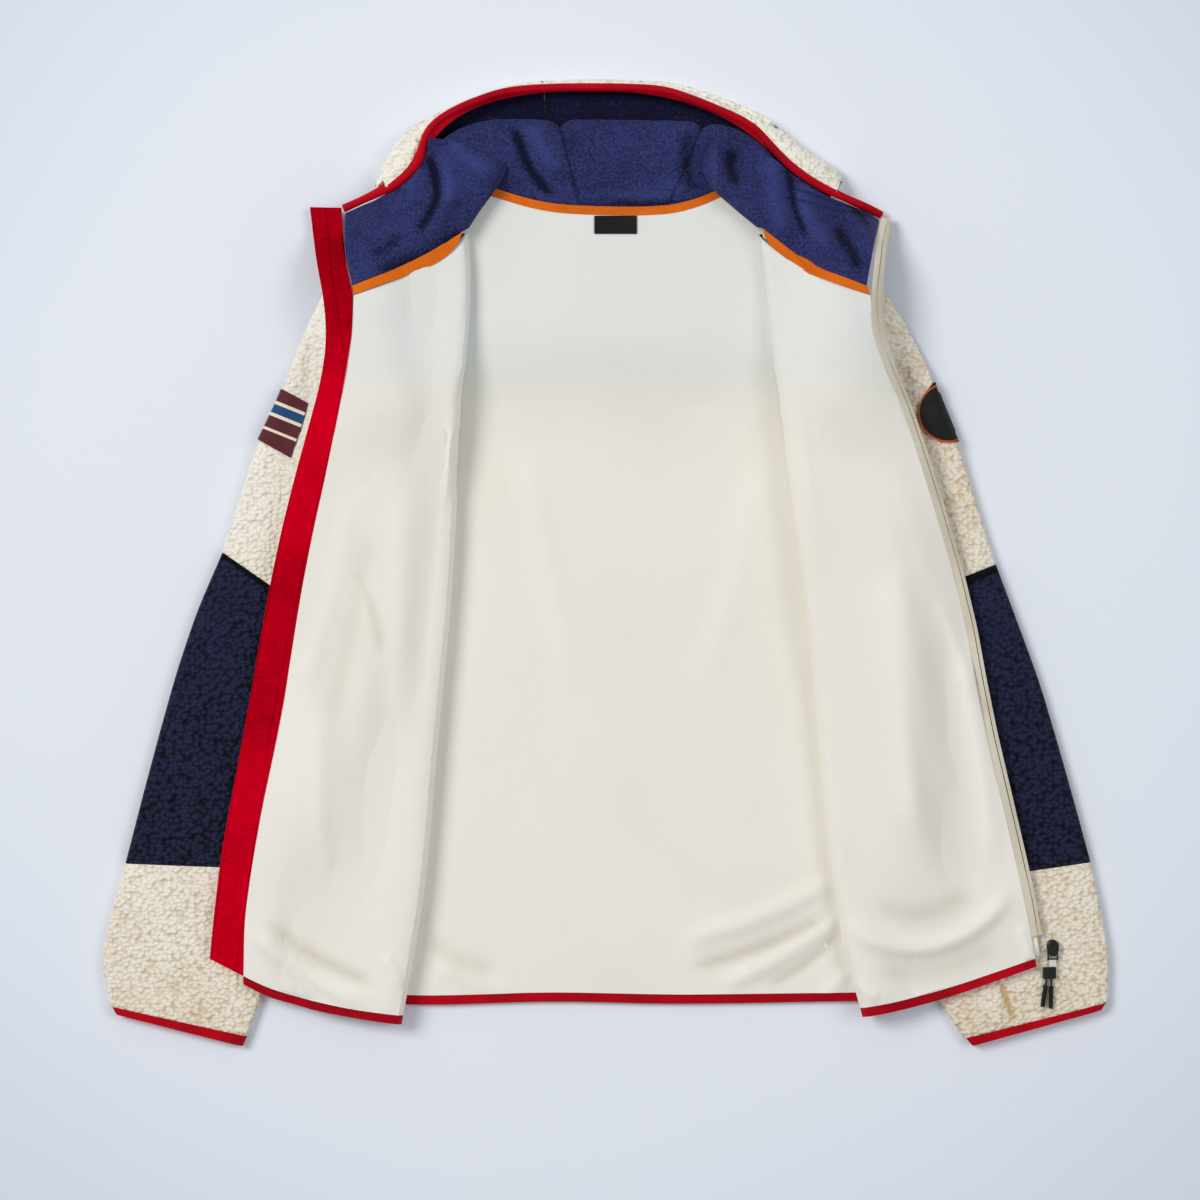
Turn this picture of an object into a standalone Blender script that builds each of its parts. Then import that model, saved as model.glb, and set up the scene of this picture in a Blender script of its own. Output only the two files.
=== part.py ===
"""A hooded pile-fleece jacket laid open on its back: fronts folded out over the sleeves, hood fallen back.

Sizes are in millimetres until an object is made. +X runs to the viewer's right, +Y from hem to hood,
+Z up from the surface it lies on. The origin is the middle of the garment's footprint, on that surface.
"""

import math

import bmesh
import bpy
import numpy as np
from mathutils import Vector

MM = 0.001

GAP = 0.3            # between pieces that meet at a seam
PILE = 4.5           # pile fleece wall, with its pile
JERSEY = 1.0         # body lining
HOOD_FLEECE = 1.8    # smooth fleece inside the hood
TAPE = 1.4           # placket, zip tape and neck tape
PATCH = 1.0
LAYER = JERSEY + PILE + GAP

SLEEVE_DEPTH = 11.4  # two pile walls and the slit between them
BINDING = 8.0        # width of the hem, cuff and brim bindings
NECK_TAPE = 8.5

HOOD_FLOOR = PILE + GAP / 2             # where shell and lining meet on the leaf on the floor
HOOD_BACK = HOOD_FLOOR + 7.3            # the same on the leaf folded back over it
HOOD_TOP = HOOD_BACK + 12.2             # the same on the leaf on top, level with the raised yoke
BACK_LIFT = HOOD_TOP - PILE - GAP / 2   # how far the fallen hood lifts the yoke
FRONT_LOFT = 9.0                        # height of a front's fold, between its two leaves
TENT_SLOPE = 0.5                        # steepest fall of a leaf that lies over something thicker
TENT_REACHES = (7, 14, 22, 30, 40, 52)  # how far round a point its support is looked for
TENT_CREST = 13.0                       # how far a leaf runs on level past an edge under it
LEAF_CLEARANCE = 1.8                    # between a leaf and the thickest thing under it
FOLD_DEPTH = 9.0                        # how far a front's fold rounds out sideways
LAPEL_ROLL = 4.5
BRIM_RADIUS = 4.0
BRIM_HEIGHT = 22.0
CHAIN_DEPTH = 2.4
SLEEVE_LENGTH = 680
PATCH_LIFT = 2.9                        # room for a patch under the sleeve
WORDS = {-1: "left", 1: "right"}

LINES = {
    # name: points (x, y) along a seam or an edge, from the top or from the left
    "left fold": [(-125, 295), (-121, 248), (-127, 172), (-134, 74), (-140, -34), (-152, -160),
                  (-163, -286), (-172, -345), (-179, -380), (-185, -416)],
    "left seam": [(-224, 237), (-223, 218), (-233, 158), (-248, 89), (-269, -8), (-289, -130),
                  (-311, -232), (-325, -321), (-326, -380)],
    "left top": [(-125, 295), (-137, 275), (-153, 264), (-176, 255), (-224, 237)],
    "left hem": [(-185, -416), (-227, -410), (-269, -402), (-303, -392), (-326, -380)],
    "placket outer": [(-266, 321), (-257, 261), (-244, 202), (-256, 164), (-270, 112), (-290, 32),
                      (-304, -34), (-326, -158), (-347, -268), (-360, -367)],
    "right fold": [(136, 293), (145, 248), (153, 165), (165, 74), (179, -34), (193, -160),
                   (207, -295), (215, -345), (224, -376), (233, -409)],
    "right seam": [(236, 237), (237, 205), (251, 170), (268, 131), (295, 48), (320, -37),
                   (339, -141), (361, -234), (377, -304), (388, -364)],
    "right top": [(136, 293), (153, 276), (182, 256), (211, 245), (236, 237)],
    "right hem": [(233, -409), (278, -400), (311, -391), (360, -374), (388, -364)],
    "zip outer": [(259, 311), (252, 288), (245, 260), (243, 245), (246, 205), (261, 173), (278, 134),
                  (305, 51), (330, -35), (349, -139), (371, -232), (387, -302), (396, -344)],
    "left sleeve outside": [(-253, 242), (-277, 199), (-289, 159), (-314, 107), (-347, 6),
                            (-376, -62), (-407, -169), (-434, -273), (-450, -333), (-458, -378), (-443, -408)],
    "left sleeve inside": [(-212, 214), (-196, 146), (-187, 74), (-190, -35), (-212, -90),
                           (-243, -169), (-284, -270), (-302, -322), (-307, -384), (-328, -437)],
    "right sleeve outside": [(251, 242), (284, 195), (295, 161), (319, 104), (353, -3),
                             (390, -102), (414, -183), (438, -270), (450, -326), (458, -383), (449, -404)],
    "right sleeve inside": [(212, 214), (196, 146), (187, 74), (190, -35), (209, -85),
                            (240, -169), (270, -270), (288, -322), (299, -396), (330, -437)],
    "neck seam": [(-103, 329), (-72, 319), (-39, 313), (36, 311), (65, 314), (86, 320), (104, 328)],
    "back top": [(-245, 243), (-103, 329), (-72, 319), (-39, 313), (36, 311), (65, 314),
                 (86, 320), (104, 328), (246, 243)],
    "back hem": [(-252, -390), (-180, -400), (-47, -397), (72, -399), (252, -396)],
    "hood roll": [(-161, 368), (-143, 388), (-118, 399), (-77, 400), (-20, 399), (55, 398),
                  (102, 396), (130, 386), (156, 363)],
    "hood fold": [(-196, 318), (-180, 282), (-126, 230), (0, 214), (126, 230), (184, 282), (204, 320)],
    "hood rim": [(-204, 350), (-196, 368), (-176, 393), (-132, 415), (-101, 428), (-60, 434), (36, 434),
                 (71, 432), (102, 419), (139, 405), (174, 378), (212, 353)],
    "brim": [(-236, 319), (-221, 325), (-191, 337), (-171, 352), (-163, 366), (-164, 378), (-155, 394),
             (-135, 407), (-116, 415), (-87, 424), (-42, 427), (13, 427), (51, 425), (74, 418),
             (104, 406), (131, 393), (147, 376), (165, 355), (186, 341), (211, 329), (234, 321), (249, 314)],
    "left lapel fold": [(-124, 300), (-119, 310), (-97, 338), (-90, 356)],
    "left lapel top": [(-90, 356), (-112, 367), (-136, 376)],
    "left lapel tape": [(-124, 300), (-132, 289), (-146, 280), (-176, 266)],
    "left lapel side": [(-225, 246), (-233, 280)],
    "left edge inner": [(-238.5, 320), (-237, 290)],
    "left edge outer": [(-267, 321), (-263, 290)],
    "right lapel fold": [(137, 301), (98, 333), (91, 343), (87, 356), (91, 369), (101, 381)],
    "right lapel top": [(101, 381), (114, 379), (134, 370)],
    "right lapel tape": [(137, 301), (172, 274), (191, 262)],
    "right lapel side": [(232, 246), (239, 280)],
    "right edge inner": [(249, 311), (243, 288)],
    "right edge outer": [(259, 311), (252, 288)],
}

# Half-width of the body at each height: the armhole curves in between shoulder and underarm.
BODY_SIDE = {"y": [-400, -34, 83, 164, 243], "half_width": [252, 250, 248, 223, 245]}
SHOULDER = {"x": [0, 60, 103, 246], "y": [311, 314, 329, 243]}

YOKE_SEAM = 0.21     # share of the length from neck to hem
ZIP_END = 0.62       # the zip ends this share of the way from the front's last full row to its hem binding
NAVY_TOP, NAVY_BOTTOM = 0.40, 0.80          # shares of the sleeve's length
NAVY_SEAMS = {
    # where the band's two seams meet the sleeve's edges, as shares of each edge's length
    -1: {"outside": (0.365, 0.793), "inside": (0.45, 0.755)},
    1: {"outside": (0.388, 0.80), "inside": (0.41, 0.77)},
}
HOOD_SEAMS = (0.385, 0.765)                 # shares of the hood's width, left and right of its centre panel
HOOD_CENTRE = (0.185, 0.815)                  # shares of the brim that the open hood's mouth takes

# Soft folds: a ridge runs from (x0, y0) to (x1, y1), fading at its ends; width and height of its bulge.
BACK_FOLDS = [
    {"x0": 60, "y0": -395, "x1": 205, "y1": -310, "width": 16, "height": 5.0},
    {"x0": -10, "y0": -350, "x1": 190, "y1": -275, "width": 22, "height": 4.0},
    {"x0": 150, "y0": -395, "x1": 212, "y1": -345, "width": 9, "height": 4.0},
    {"x0": -60, "y0": 285, "x1": 40, "y1": 120, "width": 38, "height": 3.0},
]
LEFT_FOLDS = [
    {"x0": -272, "y0": -60, "x1": -228, "y1": -300, "width": 14, "height": 3.5},
    {"x0": -314, "y0": -330, "x1": -215, "y1": -402, "width": 14, "height": 5.0},
    {"x0": -190, "y0": 120, "x1": -205, "y1": -180, "width": 26, "height": 3.0},
    {"x0": -200, "y0": -352, "x1": -182, "y1": -382, "width": 6, "height": 3.0},
]
RIGHT_FOLDS = [
    {"x0": 216, "y0": -330, "x1": 372, "y1": -318, "width": 16, "height": 5.0},
    {"x0": 262, "y0": -20, "x1": 285, "y1": -270, "width": 20, "height": 4.0},
    {"x0": 232, "y0": 90, "x1": 300, "y1": -160, "width": 24, "height": 3.0},
    {"x0": 222, "y0": -372, "x1": 262, "y1": -390, "width": 10, "height": 3.0},
]

PATCHES = {
    # stops: distances round the sleeve from its outer edge, towards its top for the left one
    -1: {"name": "patch_left", "slot": "striped_patch", "x": -299, "y": 132, "half_length": 25.5,
         "stops": (-22, -15, -8.7, -4.4, 0, 4.4, 8.7, 16, 24, 32), "rows": 6, "round": False, "clearance": 0.9},
    1: {"name": "patch_right", "slot": "round_patch", "x": 306, "y": 135, "half_length": 29,
        "stops": tuple(range(-28, 29, 4)), "rows": 11, "round": True, "clearance": 2.0},
}
LABEL = {"left": -10, "top": 311, "width": 38, "height": 16, "depth": 0.8}
SLIDER = {"x": 403.2, "y": -347.5, "width": 12.4, "length": 15.0, "depth": 5.6, "bottom": 11.7}
PULL = {"pivot_y": -357.6, "pin_radius": 0.6, "band_width": 8.8, "band_length": 6.2, "band_depth": 2.0,
        "block_width": 12.0, "block_length": 10.5, "block_depth": 4.4, "tail_radius": 1.0,
        "tip_radius": 2.0, "tip_length": 18.5}

COLOURS = {
    # slot: base colour, roughness
    "cream_pile": ((0.80, 0.71, 0.55, 1), 0.95),
    "navy_pile": ((0.012, 0.014, 0.045, 1), 0.95),
    "cream_jersey": ((0.82, 0.79, 0.71, 1), 0.70),
    "navy_fleece": ((0.026, 0.030, 0.115, 1), 0.90),
    "red_cloth": ((0.56, 0.002, 0.012, 1), 0.65),
    "orange_tape": ((0.46, 0.09, 0.006, 1), 0.60),
    "cream_tape": ((0.76, 0.70, 0.60, 1), 0.60),
    "black_label": ((0.006, 0.006, 0.007, 1), 0.55),
    "striped_patch": ((0.09, 0.018, 0.022, 1), 0.60),
    "round_patch": ((0.008, 0.008, 0.009, 1), 0.60),
    "black_plastic": ((0.006, 0.006, 0.007, 1), 0.35),
    "black_cord": ((0.008, 0.008, 0.009, 1), 0.60),
    "white_band": ((0.80, 0.78, 0.76, 1), 0.45),
}


def clear_scene():
    for item in list(bpy.data.objects):
        bpy.data.objects.remove(item, do_unlink=True)


def collection(name, hidden=False):
    made = bpy.data.collections.new(name)
    bpy.context.scene.collection.children.link(made)
    made.hide_render = hidden
    return made


def material(slot):
    found = bpy.data.materials.get(slot)
    if found:
        return found
    made = bpy.data.materials.new(slot)
    made.use_nodes = True
    shader = made.node_tree.nodes["Principled BSDF"]
    colour, roughness = COLOURS[slot]
    shader.inputs["Base Color"].default_value = colour
    shader.inputs["Roughness"].default_value = roughness
    shader.inputs["Metallic"].default_value = 0.0
    return made


def smooth_step(t):
    t = np.clip(t, 0.0, 1.0)
    return t * t * (3 - 2 * t)


def along(points, shares):
    """Points at these shares of the length of a smooth curve through the given ones."""
    knots = np.array(points, float)
    ends = np.vstack([2 * knots[0] - knots[1], knots, 2 * knots[-1] - knots[-2]])
    dense = []
    for a, b, c, d in zip(ends, ends[1:], ends[2:], ends[3:]):
        for t in np.arange(0, 1, 0.125):
            dense.append(0.5 * (2 * b + (c - a) * t + (2 * a - 5 * b + 4 * c - d) * t * t
                                + (3 * b - a - 3 * c + d) * t ** 3))
    dense = np.array(dense + [knots[-1]])
    length = np.append(0, np.cumsum(np.linalg.norm(np.diff(dense, axis=0), axis=1)))
    wanted = np.asarray(shares) * length[-1]
    return np.stack([np.interp(wanted, length, dense[:, k]) for k in range(dense.shape[1])], axis=1)


def shares(count, start=0.0, end=1.0):
    return np.linspace(start, end, count + 1)


def cuts(ends, counts, gap):
    """Shares from ends[0] to ends[-1] with a gap at each seam between, and the slice of each stretch."""
    values, stretches = [], []
    for k, (start, end, count) in enumerate(zip(ends, ends[1:], counts)):
        start += gap / 2 if k else 0
        end -= gap / 2 if k < len(counts) - 1 else 0
        stretches.append(slice(len(values), len(values) + count + 1))
        values.extend(np.linspace(start, end, count + 1))
    return np.array(values), stretches


def coons(top, bottom, left, right):
    """Points of the patch between four rows of points, which share their corners."""
    t = run_shares(left)[:, None, None]
    s = run_shares(top)[None, :, None]
    between = (1 - t) * top[None] + t * bottom[None] + (1 - s) * left[:, None] + s * right[:, None]
    corners = ((1 - t) * ((1 - s) * top[0] + s * top[-1]) + t * ((1 - s) * bottom[0] + s * bottom[-1]))
    return between - corners


def run_shares(points):
    """Each point's share of the length of the broken line through them."""
    length = np.append(0, np.cumsum(np.linalg.norm(np.diff(points, axis=0), axis=1)))
    return length / length[-1]


def with_height(points, height):
    return np.concatenate([points, np.asarray(height)[..., None]], axis=-1)


def folds_at(x, y, folds):
    height = np.zeros_like(x, dtype=float)
    for fold in folds:
        run = np.array([fold["x1"] - fold["x0"], fold["y1"] - fold["y0"]], float)
        length = np.hypot(*run)
        run /= length
        progress = ((x - fold["x0"]) * run[0] + (y - fold["y0"]) * run[1]) / length
        across = (x - fold["x0"]) * run[1] - (y - fold["y0"]) * run[0]
        fade = smooth_step((progress + 0.15) / 0.35) * smooth_step((1.15 - progress) / 0.35)
        height += fold["height"] * fade * np.exp(-(across / fold["width"]) ** 2)
    return height


def back_height(x, y):
    """How far the hood under it lifts the back."""
    return BACK_LIFT * smooth_step((y - 118) / 84) * smooth_step((234 - np.abs(x)) / 46)


def back_top(x, y):
    """The back's lift, with room beside its slope for a leaf that lies on it in coarser cells."""
    return np.maximum(back_height(x, y), back_height(np.maximum(np.abs(x) - 22, 0), y + 30))


def body_side(y):
    return np.interp(y, BODY_SIDE["y"], BODY_SIDE["half_width"])


def line_x(name, y):
    """x of a line that runs down the garment, at a height."""
    line = np.array(LINES[name], float)[::-1]
    return np.interp(y, line[:, 1], line[:, 0])


def leaf_top(x, y):
    """Top of the back and of the front's lower leaf on it."""
    return back_top(x, y) + 2 * LAYER + 3 * GAP


def sleeve_base(side, x, y):
    """Underside of a sleeve: on the ground beside the body, and on the front's lower leaf over it."""
    inside = body_side(y) - side * x
    lift = (leaf_top(x, y) + 5.4) * smooth_step((inside + 38) / 24)
    patch = PATCHES[side]
    away = np.hypot(x - patch["x"], y - patch["y"])
    return np.maximum(lift, PATCH_LIFT * smooth_step((68 - away) / 28))


def support(side, x, y):
    """Top of what lies under a front's upper leaf and under the hood's lapel."""
    reach, word = side * x, WORDS[side]
    shoulder = np.interp(np.abs(x), SHOULDER["x"], SHOULDER["y"])
    on_body = (reach < body_side(y) + 1) & (y < shoulder + 3) & (y > -396)
    near_fold = smooth_step((side * line_x(f"{word} fold", y) + 62 - reach) / 60)
    loft = FRONT_LOFT * (1 - 0.7 * smooth_step((y - 120) / 120))
    top = np.where(on_body, leaf_top(x, y) + loft * near_fold, 0.0)
    outside, inside = side * line_x(f"{word} sleeve outside", y), side * line_x(f"{word} sleeve inside", y)
    on_sleeve = (reach > inside - 8) & (reach < outside + 4) & (y < 246) & (y > -440)
    top = np.maximum(top, np.where(on_sleeve, sleeve_base(side, x, y) + SLEEVE_DEPTH, 0.0))
    on_hood = (np.abs(x) < 166) & (y > shoulder - 3) & (y < 402)
    top = np.maximum(top, np.where(on_hood, HOOD_TOP + HOOD_FLEECE + GAP, 0.0))
    bag_width = np.interp(y, [214, 228, 283, 316, 366], [60, 134, 194, 206, 208])
    on_bag = (np.abs(x) < bag_width) & (y > 212) & (y < 366)
    top = np.maximum(top, np.where(on_bag, HOOD_BACK + PILE + GAP, 0.0))
    on_bulge = (np.abs(x) < 208) & (y > 316) & (y < 400 - 0.6 * np.maximum(np.abs(x) - 170, 0))
    return np.maximum(top, np.where(on_bulge, 15.0 + 6.5 * smooth_step((200 - np.abs(x)) / 34), 0.0))


def draped(side, x, y):
    """Height where shell and lining meet on a leaf that tents over its support."""
    best = support(side, x, y)
    for reach in TENT_REACHES:
        for turn in range(12):
            angle = math.tau * turn / 12
            lower = support(side, x + reach * math.cos(angle), y + reach * math.sin(angle))
            best = np.maximum(best, lower - TENT_SLOPE * max(reach - TENT_CREST, 0))
    return best + LEAF_CLEARANCE + PILE + GAP / 2


def grid_normals(grid):
    """Normals of a surface given as rows of points; the rows or columns of a seam share theirs."""
    normal = np.cross(np.gradient(grid, axis=0), np.gradient(grid, axis=1))
    normal /= np.linalg.norm(normal, axis=2, keepdims=True)
    for turned, points in ((normal, grid), (normal.transpose(1, 0, 2), grid.transpose(1, 0, 2))):
        apart = np.linalg.norm(np.diff(points, axis=0), axis=2).mean(axis=1)
        for k in np.flatnonzero(apart < 3 * GAP):
            shared = turned[k] + turned[k + 1]
            turned[k] = turned[k + 1] = shared / np.linalg.norm(shared, axis=1, keepdims=True)
    return normal


def finish(name, bm, slot):
    """Makes the named object from a bmesh and gives it its material."""
    mesh = bpy.data.meshes.new(name)
    bm.to_mesh(mesh)
    bm.free()
    mesh.materials.append(material(slot))
    mesh.shade_smooth()
    mesh.set_sharp_from_angle(angle=math.radians(40))
    made = bpy.data.objects.new(name, mesh)
    PARTS.objects.link(made)
    return made


def wall(name, low, high, slot, ring=False):
    """A closed wall between two surfaces given as rows of points, high on the side their normals face."""
    rows, columns = low.shape[:2]
    low, high = (with_height(points[..., :2], np.maximum(points[..., 2], 0)) for points in (low, high))
    bm = bmesh.new()
    under = [[bm.verts.new(point) for point in row] for row in low * MM]
    over = [[bm.verts.new(point) for point in row] for row in high * MM]
    steps = [(j, (j + 1) % columns) for j in range(columns if ring else columns - 1)]
    for i in range(rows - 1):
        for j, k in steps:
            for a, b, c in ((under[i][j], under[i][k], under[i + 1][k]),
                            (under[i][j], under[i + 1][k], under[i + 1][j])):
                bm.faces.new((a, b, c))
            for a, b, c in ((over[i][j], over[i + 1][k], over[i][k]),
                            (over[i][j], over[i + 1][j], over[i + 1][k])):
                bm.faces.new((a, b, c))
    for j, k in steps:
        bm.faces.new((under[0][k], under[0][j], over[0][j], over[0][k]))
        bm.faces.new((under[-1][j], under[-1][k], over[-1][k], over[-1][j]))
    if not ring:
        for i in range(rows - 1):
            bm.faces.new((under[i][0], under[i + 1][0], over[i + 1][0], over[i][0]))
            bm.faces.new((under[i + 1][-1], under[i][-1], over[i][-1], over[i + 1][-1]))
    return finish(name, bm, slot)


def layer(name, grid, rows, columns, low, thickness, slot, lift=None, normals=None):
    """One cut piece: its part of a reference surface, moved by low along the normals, and made a wall.

    Where the surface is near level it is moved straight up or down instead, so that seams stay parallel.
    """
    if normals is None:
        normals = grid_normals(grid)
        flatness = np.abs(normals[..., 2:])
        upright = np.sign(normals[..., 2:]) * np.array([0, 0, 1.0]) / np.maximum(flatness, 0.75)
        level = smooth_step((flatness - 0.35) / 0.3)
        normals = normals * (1 - level) + upright * level
    raised = grid if lift is None else with_height(grid[..., :2], grid[..., 2] + lift)
    bottom, top = raised + normals * low, raised + normals * (low + thickness)
    return wall(name, bottom[rows][:, columns], top[rows][:, columns], slot)


def without(count, *left_out):
    return [k for k in range(count) if k not in left_out]


SHELL_LOW = -PILE - GAP / 2
LINING_LOW = GAP / 2


def neck_points():
    """Points of the neck seam, two at each seam of the hood, and the slices of the hood's panels."""
    across, panels = cuts([0, *HOOD_SEAMS, 1], [4, 3, 4], 2 * GAP / 215)
    return along(LINES["neck seam"], across), across, panels


def build_back():
    length = 703
    down, (yoke, body, binding) = cuts([0, YOKE_SEAM, 1 - BINDING / length, 1], [5, 11, 1], GAP / length)
    neck, _, panels = neck_points()
    neck = neck[without(len(neck), *(panel.start for panel in panels[1:]))]
    shoulder = along([LINES["back top"][0], LINES["back top"][1]], shares(4))[:-1]
    other = along([LINES["back top"][-2], LINES["back top"][-1]], shares(4))[1:]
    top = np.vstack([shoulder, neck, other])
    bottom = along(LINES["back hem"], run_shares(top))
    sides = list(zip(BODY_SIDE["half_width"], BODY_SIDE["y"]))[::-1][:-1]
    left = along([(-x, y) for x, y in sides] + [LINES["back hem"][0]], down)
    right = along([*sides, LINES["back hem"][-1]], down)
    flat = coons(top, bottom, left, right)
    x, y = flat[..., 0], flat[..., 1]
    grid = with_height(flat, back_height(x, y) + PILE + GAP / 2)
    every = slice(None)
    layer("back_yoke_shell", grid, yoke, every, SHELL_LOW, PILE, "navy_pile")
    layer("back_shell", grid, body, every, SHELL_LOW, PILE, "cream_pile")
    layer("hem_binding_back", grid, binding, every, SHELL_LOW, LAYER, "red_cloth")
    between = (smooth_step((x - line_x("left fold", y) - 8) / 25)
               * smooth_step((line_x("right fold", y) - x - 8) / 25))
    lift = folds_at(x, y, BACK_FOLDS) * between * smooth_step((292 - y) / 30)
    rows = without(binding.start, body.start)
    layer("back_lining", grid, rows, every, LINING_LOW, JERSEY, "cream_jersey", lift)


def front_grid(side, down, counts, edge_shares):
    """Reference surface of a front: lower leaf from the side seam, fold, upper leaf, and its edge."""
    word = WORDS[side]
    lower_cells, fold_cells, upper_cells = counts
    across = shares(upper_cells)
    upper = coons(along(LINES[f"{word} top"], across), along(LINES[f"{word} hem"], across),
                  along(LINES[f"{word} fold"], down), along(LINES[f"{word} seam"], down))
    heights = draped(side, upper[..., 0], upper[..., 1])
    edge_name = "placket outer" if side < 0 else "zip outer"
    rows = []
    for k, t in enumerate(down):
        fold = upper[k, 0]
        seam_y = 238 + (-391 - 238) * t
        seam_point = np.array([side * (body_side(seam_y) - 1), seam_y])
        inward = (fold - seam_point) / np.hypot(*(fold - seam_point))
        out = (upper[k, 2] - fold) / np.hypot(*(upper[k, 2] - fold))
        high = float(heights[k, 0])
        low = lower_leaf(*fold)
        radius = (high - low) / 2
        depth = min(radius, FOLD_DEPTH)
        lower_end = fold - inward * depth
        points = [(*place, lower_leaf(*place))
                  for place in (seam_point * (1 - s) + lower_end * s for s in shares(lower_cells)[:-1])]
        for turn in shares(fold_cells):
            angle = math.pi * (turn - 0.5)
            forward = inward * (1 - turn) - out * turn
            place = lower_end * (1 - turn) + (fold + out * depth) * turn
            place = place + forward / np.hypot(*forward) * depth * math.cos(angle)
            points.append((*place, (low + high) / 2 + radius * math.sin(angle)))
        points.extend((*upper[k, j], float(heights[k, j])) for j in range(1, upper_cells + 1))
        last, before = upper[k, -1], upper[k, -2]
        beyond = (last - before) / np.hypot(*(last - before))
        spare = abs(line_x(edge_name, last[1])) - abs(last[0])
        for share in edge_shares:
            place = last + beyond * (GAP if share == 0 else spare * share)
            points.append((*place, float(draped(side, place[:1], place[1:])[0])))
        rows.append(points)
    grid = np.array(rows)
    for points in (grid, grid.transpose(1, 0, 2)):
        apart = np.linalg.norm(np.diff(points[..., :2], axis=0), axis=2).mean(axis=1)
        for k in np.flatnonzero(apart < 3 * GAP):
            points[k + 1, :, 2] = points[k, :, 2]
    return grid[:, ::-1] if side < 0 else grid


def lower_leaf(x, y):
    """Height where shell and lining meet on a front's leaf that lies on the back."""
    return float(back_top(x, y)) + LAYER + JERSEY + 3 * GAP


def build_front(side, folds):
    """One front with its edge: placket on the left, zip on the right. Gives back its top row."""
    word = WORDS[side]
    length = 700
    down, (yoke, body, binding) = cuts([0, 0.17, 1 - BINDING / length, 1], [3, 10, 1], 2 * GAP / length)
    edge = (0, 0.5, 0.94, 1) if side < 0 else (0, 0.62, 0.72, 1)
    grid = front_grid(side, down, (3, 4, 6), edge)
    columns = grid.shape[1]
    mirrored = (lambda start, end: slice(columns - end, columns - start)) if side < 0 else slice
    every, lined = slice(None), mirrored(0, columns - 4)
    under_edge = mirrored(0, columns - (1 if side < 0 else 2))
    layer(f"front_{word}_yoke_shell", grid, yoke, under_edge, SHELL_LOW, PILE, "navy_pile")
    layer(f"front_{word}_shell", grid, body, under_edge, SHELL_LOW, PILE, "cream_pile")
    layer(f"hem_binding_{word}", grid, binding, lined, SHELL_LOW, LAYER, "red_cloth")
    on_top = smooth_step((grid_normals(grid)[..., 2] - 0.6) / 0.3)
    rows = without(binding.start, body.start)
    layer(f"front_{word}_lining", grid, rows, lined, LINING_LOW, JERSEY, "cream_jersey",
          folds_at(grid[..., 0], grid[..., 1], folds) * on_top)
    edge_rows = grid[rows]
    if side > 0:
        edge_rows[-1] = edge_rows[-2] * (1 - ZIP_END) + edge_rows[-1] * ZIP_END
    build_edge(side, edge_rows, mirrored)
    return grid[0, ::-1] if side < 0 else grid[0]


def build_edge(side, grid, mirrored):
    """The placket, or the zip's tape and chain: along the front, and on along the hood's front end."""
    word = WORDS[side]
    columns = grid.shape[1]
    strip = mirrored(columns - 4, columns)
    ends = grid[0, strip][:, :2]
    ends = ends[::-1] if side < 0 else ends
    at = shares(4)[:-1]
    outer = along(LINES[f"{word} edge outer"] + [tuple(ends[-1])], at)
    inner = along(LINES[f"{word} edge inner"] + [tuple(ends[0])], at)
    mix = run_shares(ends)[None, :, None]
    flat = inner[:, None] * (1 - mix) + outer[:, None] * mix
    flat = flat[:, ::-1] if side < 0 else flat
    above = with_height(flat, draped(side, flat[..., 0], flat[..., 1]))
    whole = np.vstack([above, grid[:, strip]])
    every = slice(None)
    if side < 0:
        layer("placket", whole, every, every, LINING_LOW, TAPE, "red_cloth")
    else:
        layer("zip_tape", whole, every, slice(0, 2), LINING_LOW, TAPE, "cream_tape")
        layer("zip_chain", whole, every, slice(2, 4), -CHAIN_DEPTH / 2, CHAIN_DEPTH, "cream_tape")


def sleeve_surface(side, at, inset=0.0):
    """Surface of a flattened sleeve, a ring for each share of its length; rings close on themselves."""
    word = WORDS[side]
    outside, inside = (
        along(LINES[f"{word} sleeve {edge}"],
              np.interp(at, [0, NAVY_TOP, NAVY_BOTTOM, 1], [0, *NAVY_SEAMS[side][edge], 1]))
        for edge in ("outside", "inside"))
    half = SLEEVE_DEPTH / 2
    high = half - inset
    bend, rise = half - high * math.sqrt(0.5), high * math.sqrt(0.5)
    rings = []
    for out_point, in_point in zip(outside, inside):
        run = in_point - out_point
        width = np.hypot(*run)
        body = body_side(out_point[1] + run[1] * 0.7)
        ramp = [(side * out_point[0] - body - beside) / abs(run[0]) * width for beside in (40, 14)]
        ramp[1] = np.clip(ramp[1], width * 0.6, width - half - 9)
        ramp[0] = np.clip(ramp[0], width * 0.35, ramp[1] - 12)
        top = [(inset, 0), (bend, rise), (half, high), (ramp[0] * 0.55, high), (ramp[0], high), (ramp[1], high),
               ((ramp[1] + width - half) / 2, high), (width - half, high), (width - bend, rise), (width - inset, 0)]
        ring = top + [(w, -h) for w, h in reversed(top[1:-1])] + [top[0]]
        ring = ring if side < 0 else ring[::-1]
        places = [out_point + run * w / width for w, _ in ring]
        rings.append([(x, y, float(sleeve_base(side, x, y)) + half + h)
                      for (x, y), (_, h) in zip(places, ring)])
    return np.array(rings)


def ring_normals(surface):
    """Normals of a closed ring's surface, whose first and last column are the same."""
    padded = np.concatenate([surface[:, -2:-1], surface, surface[:, 1:2]], axis=1)
    return grid_normals(padded)[:, 1:-1]


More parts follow.
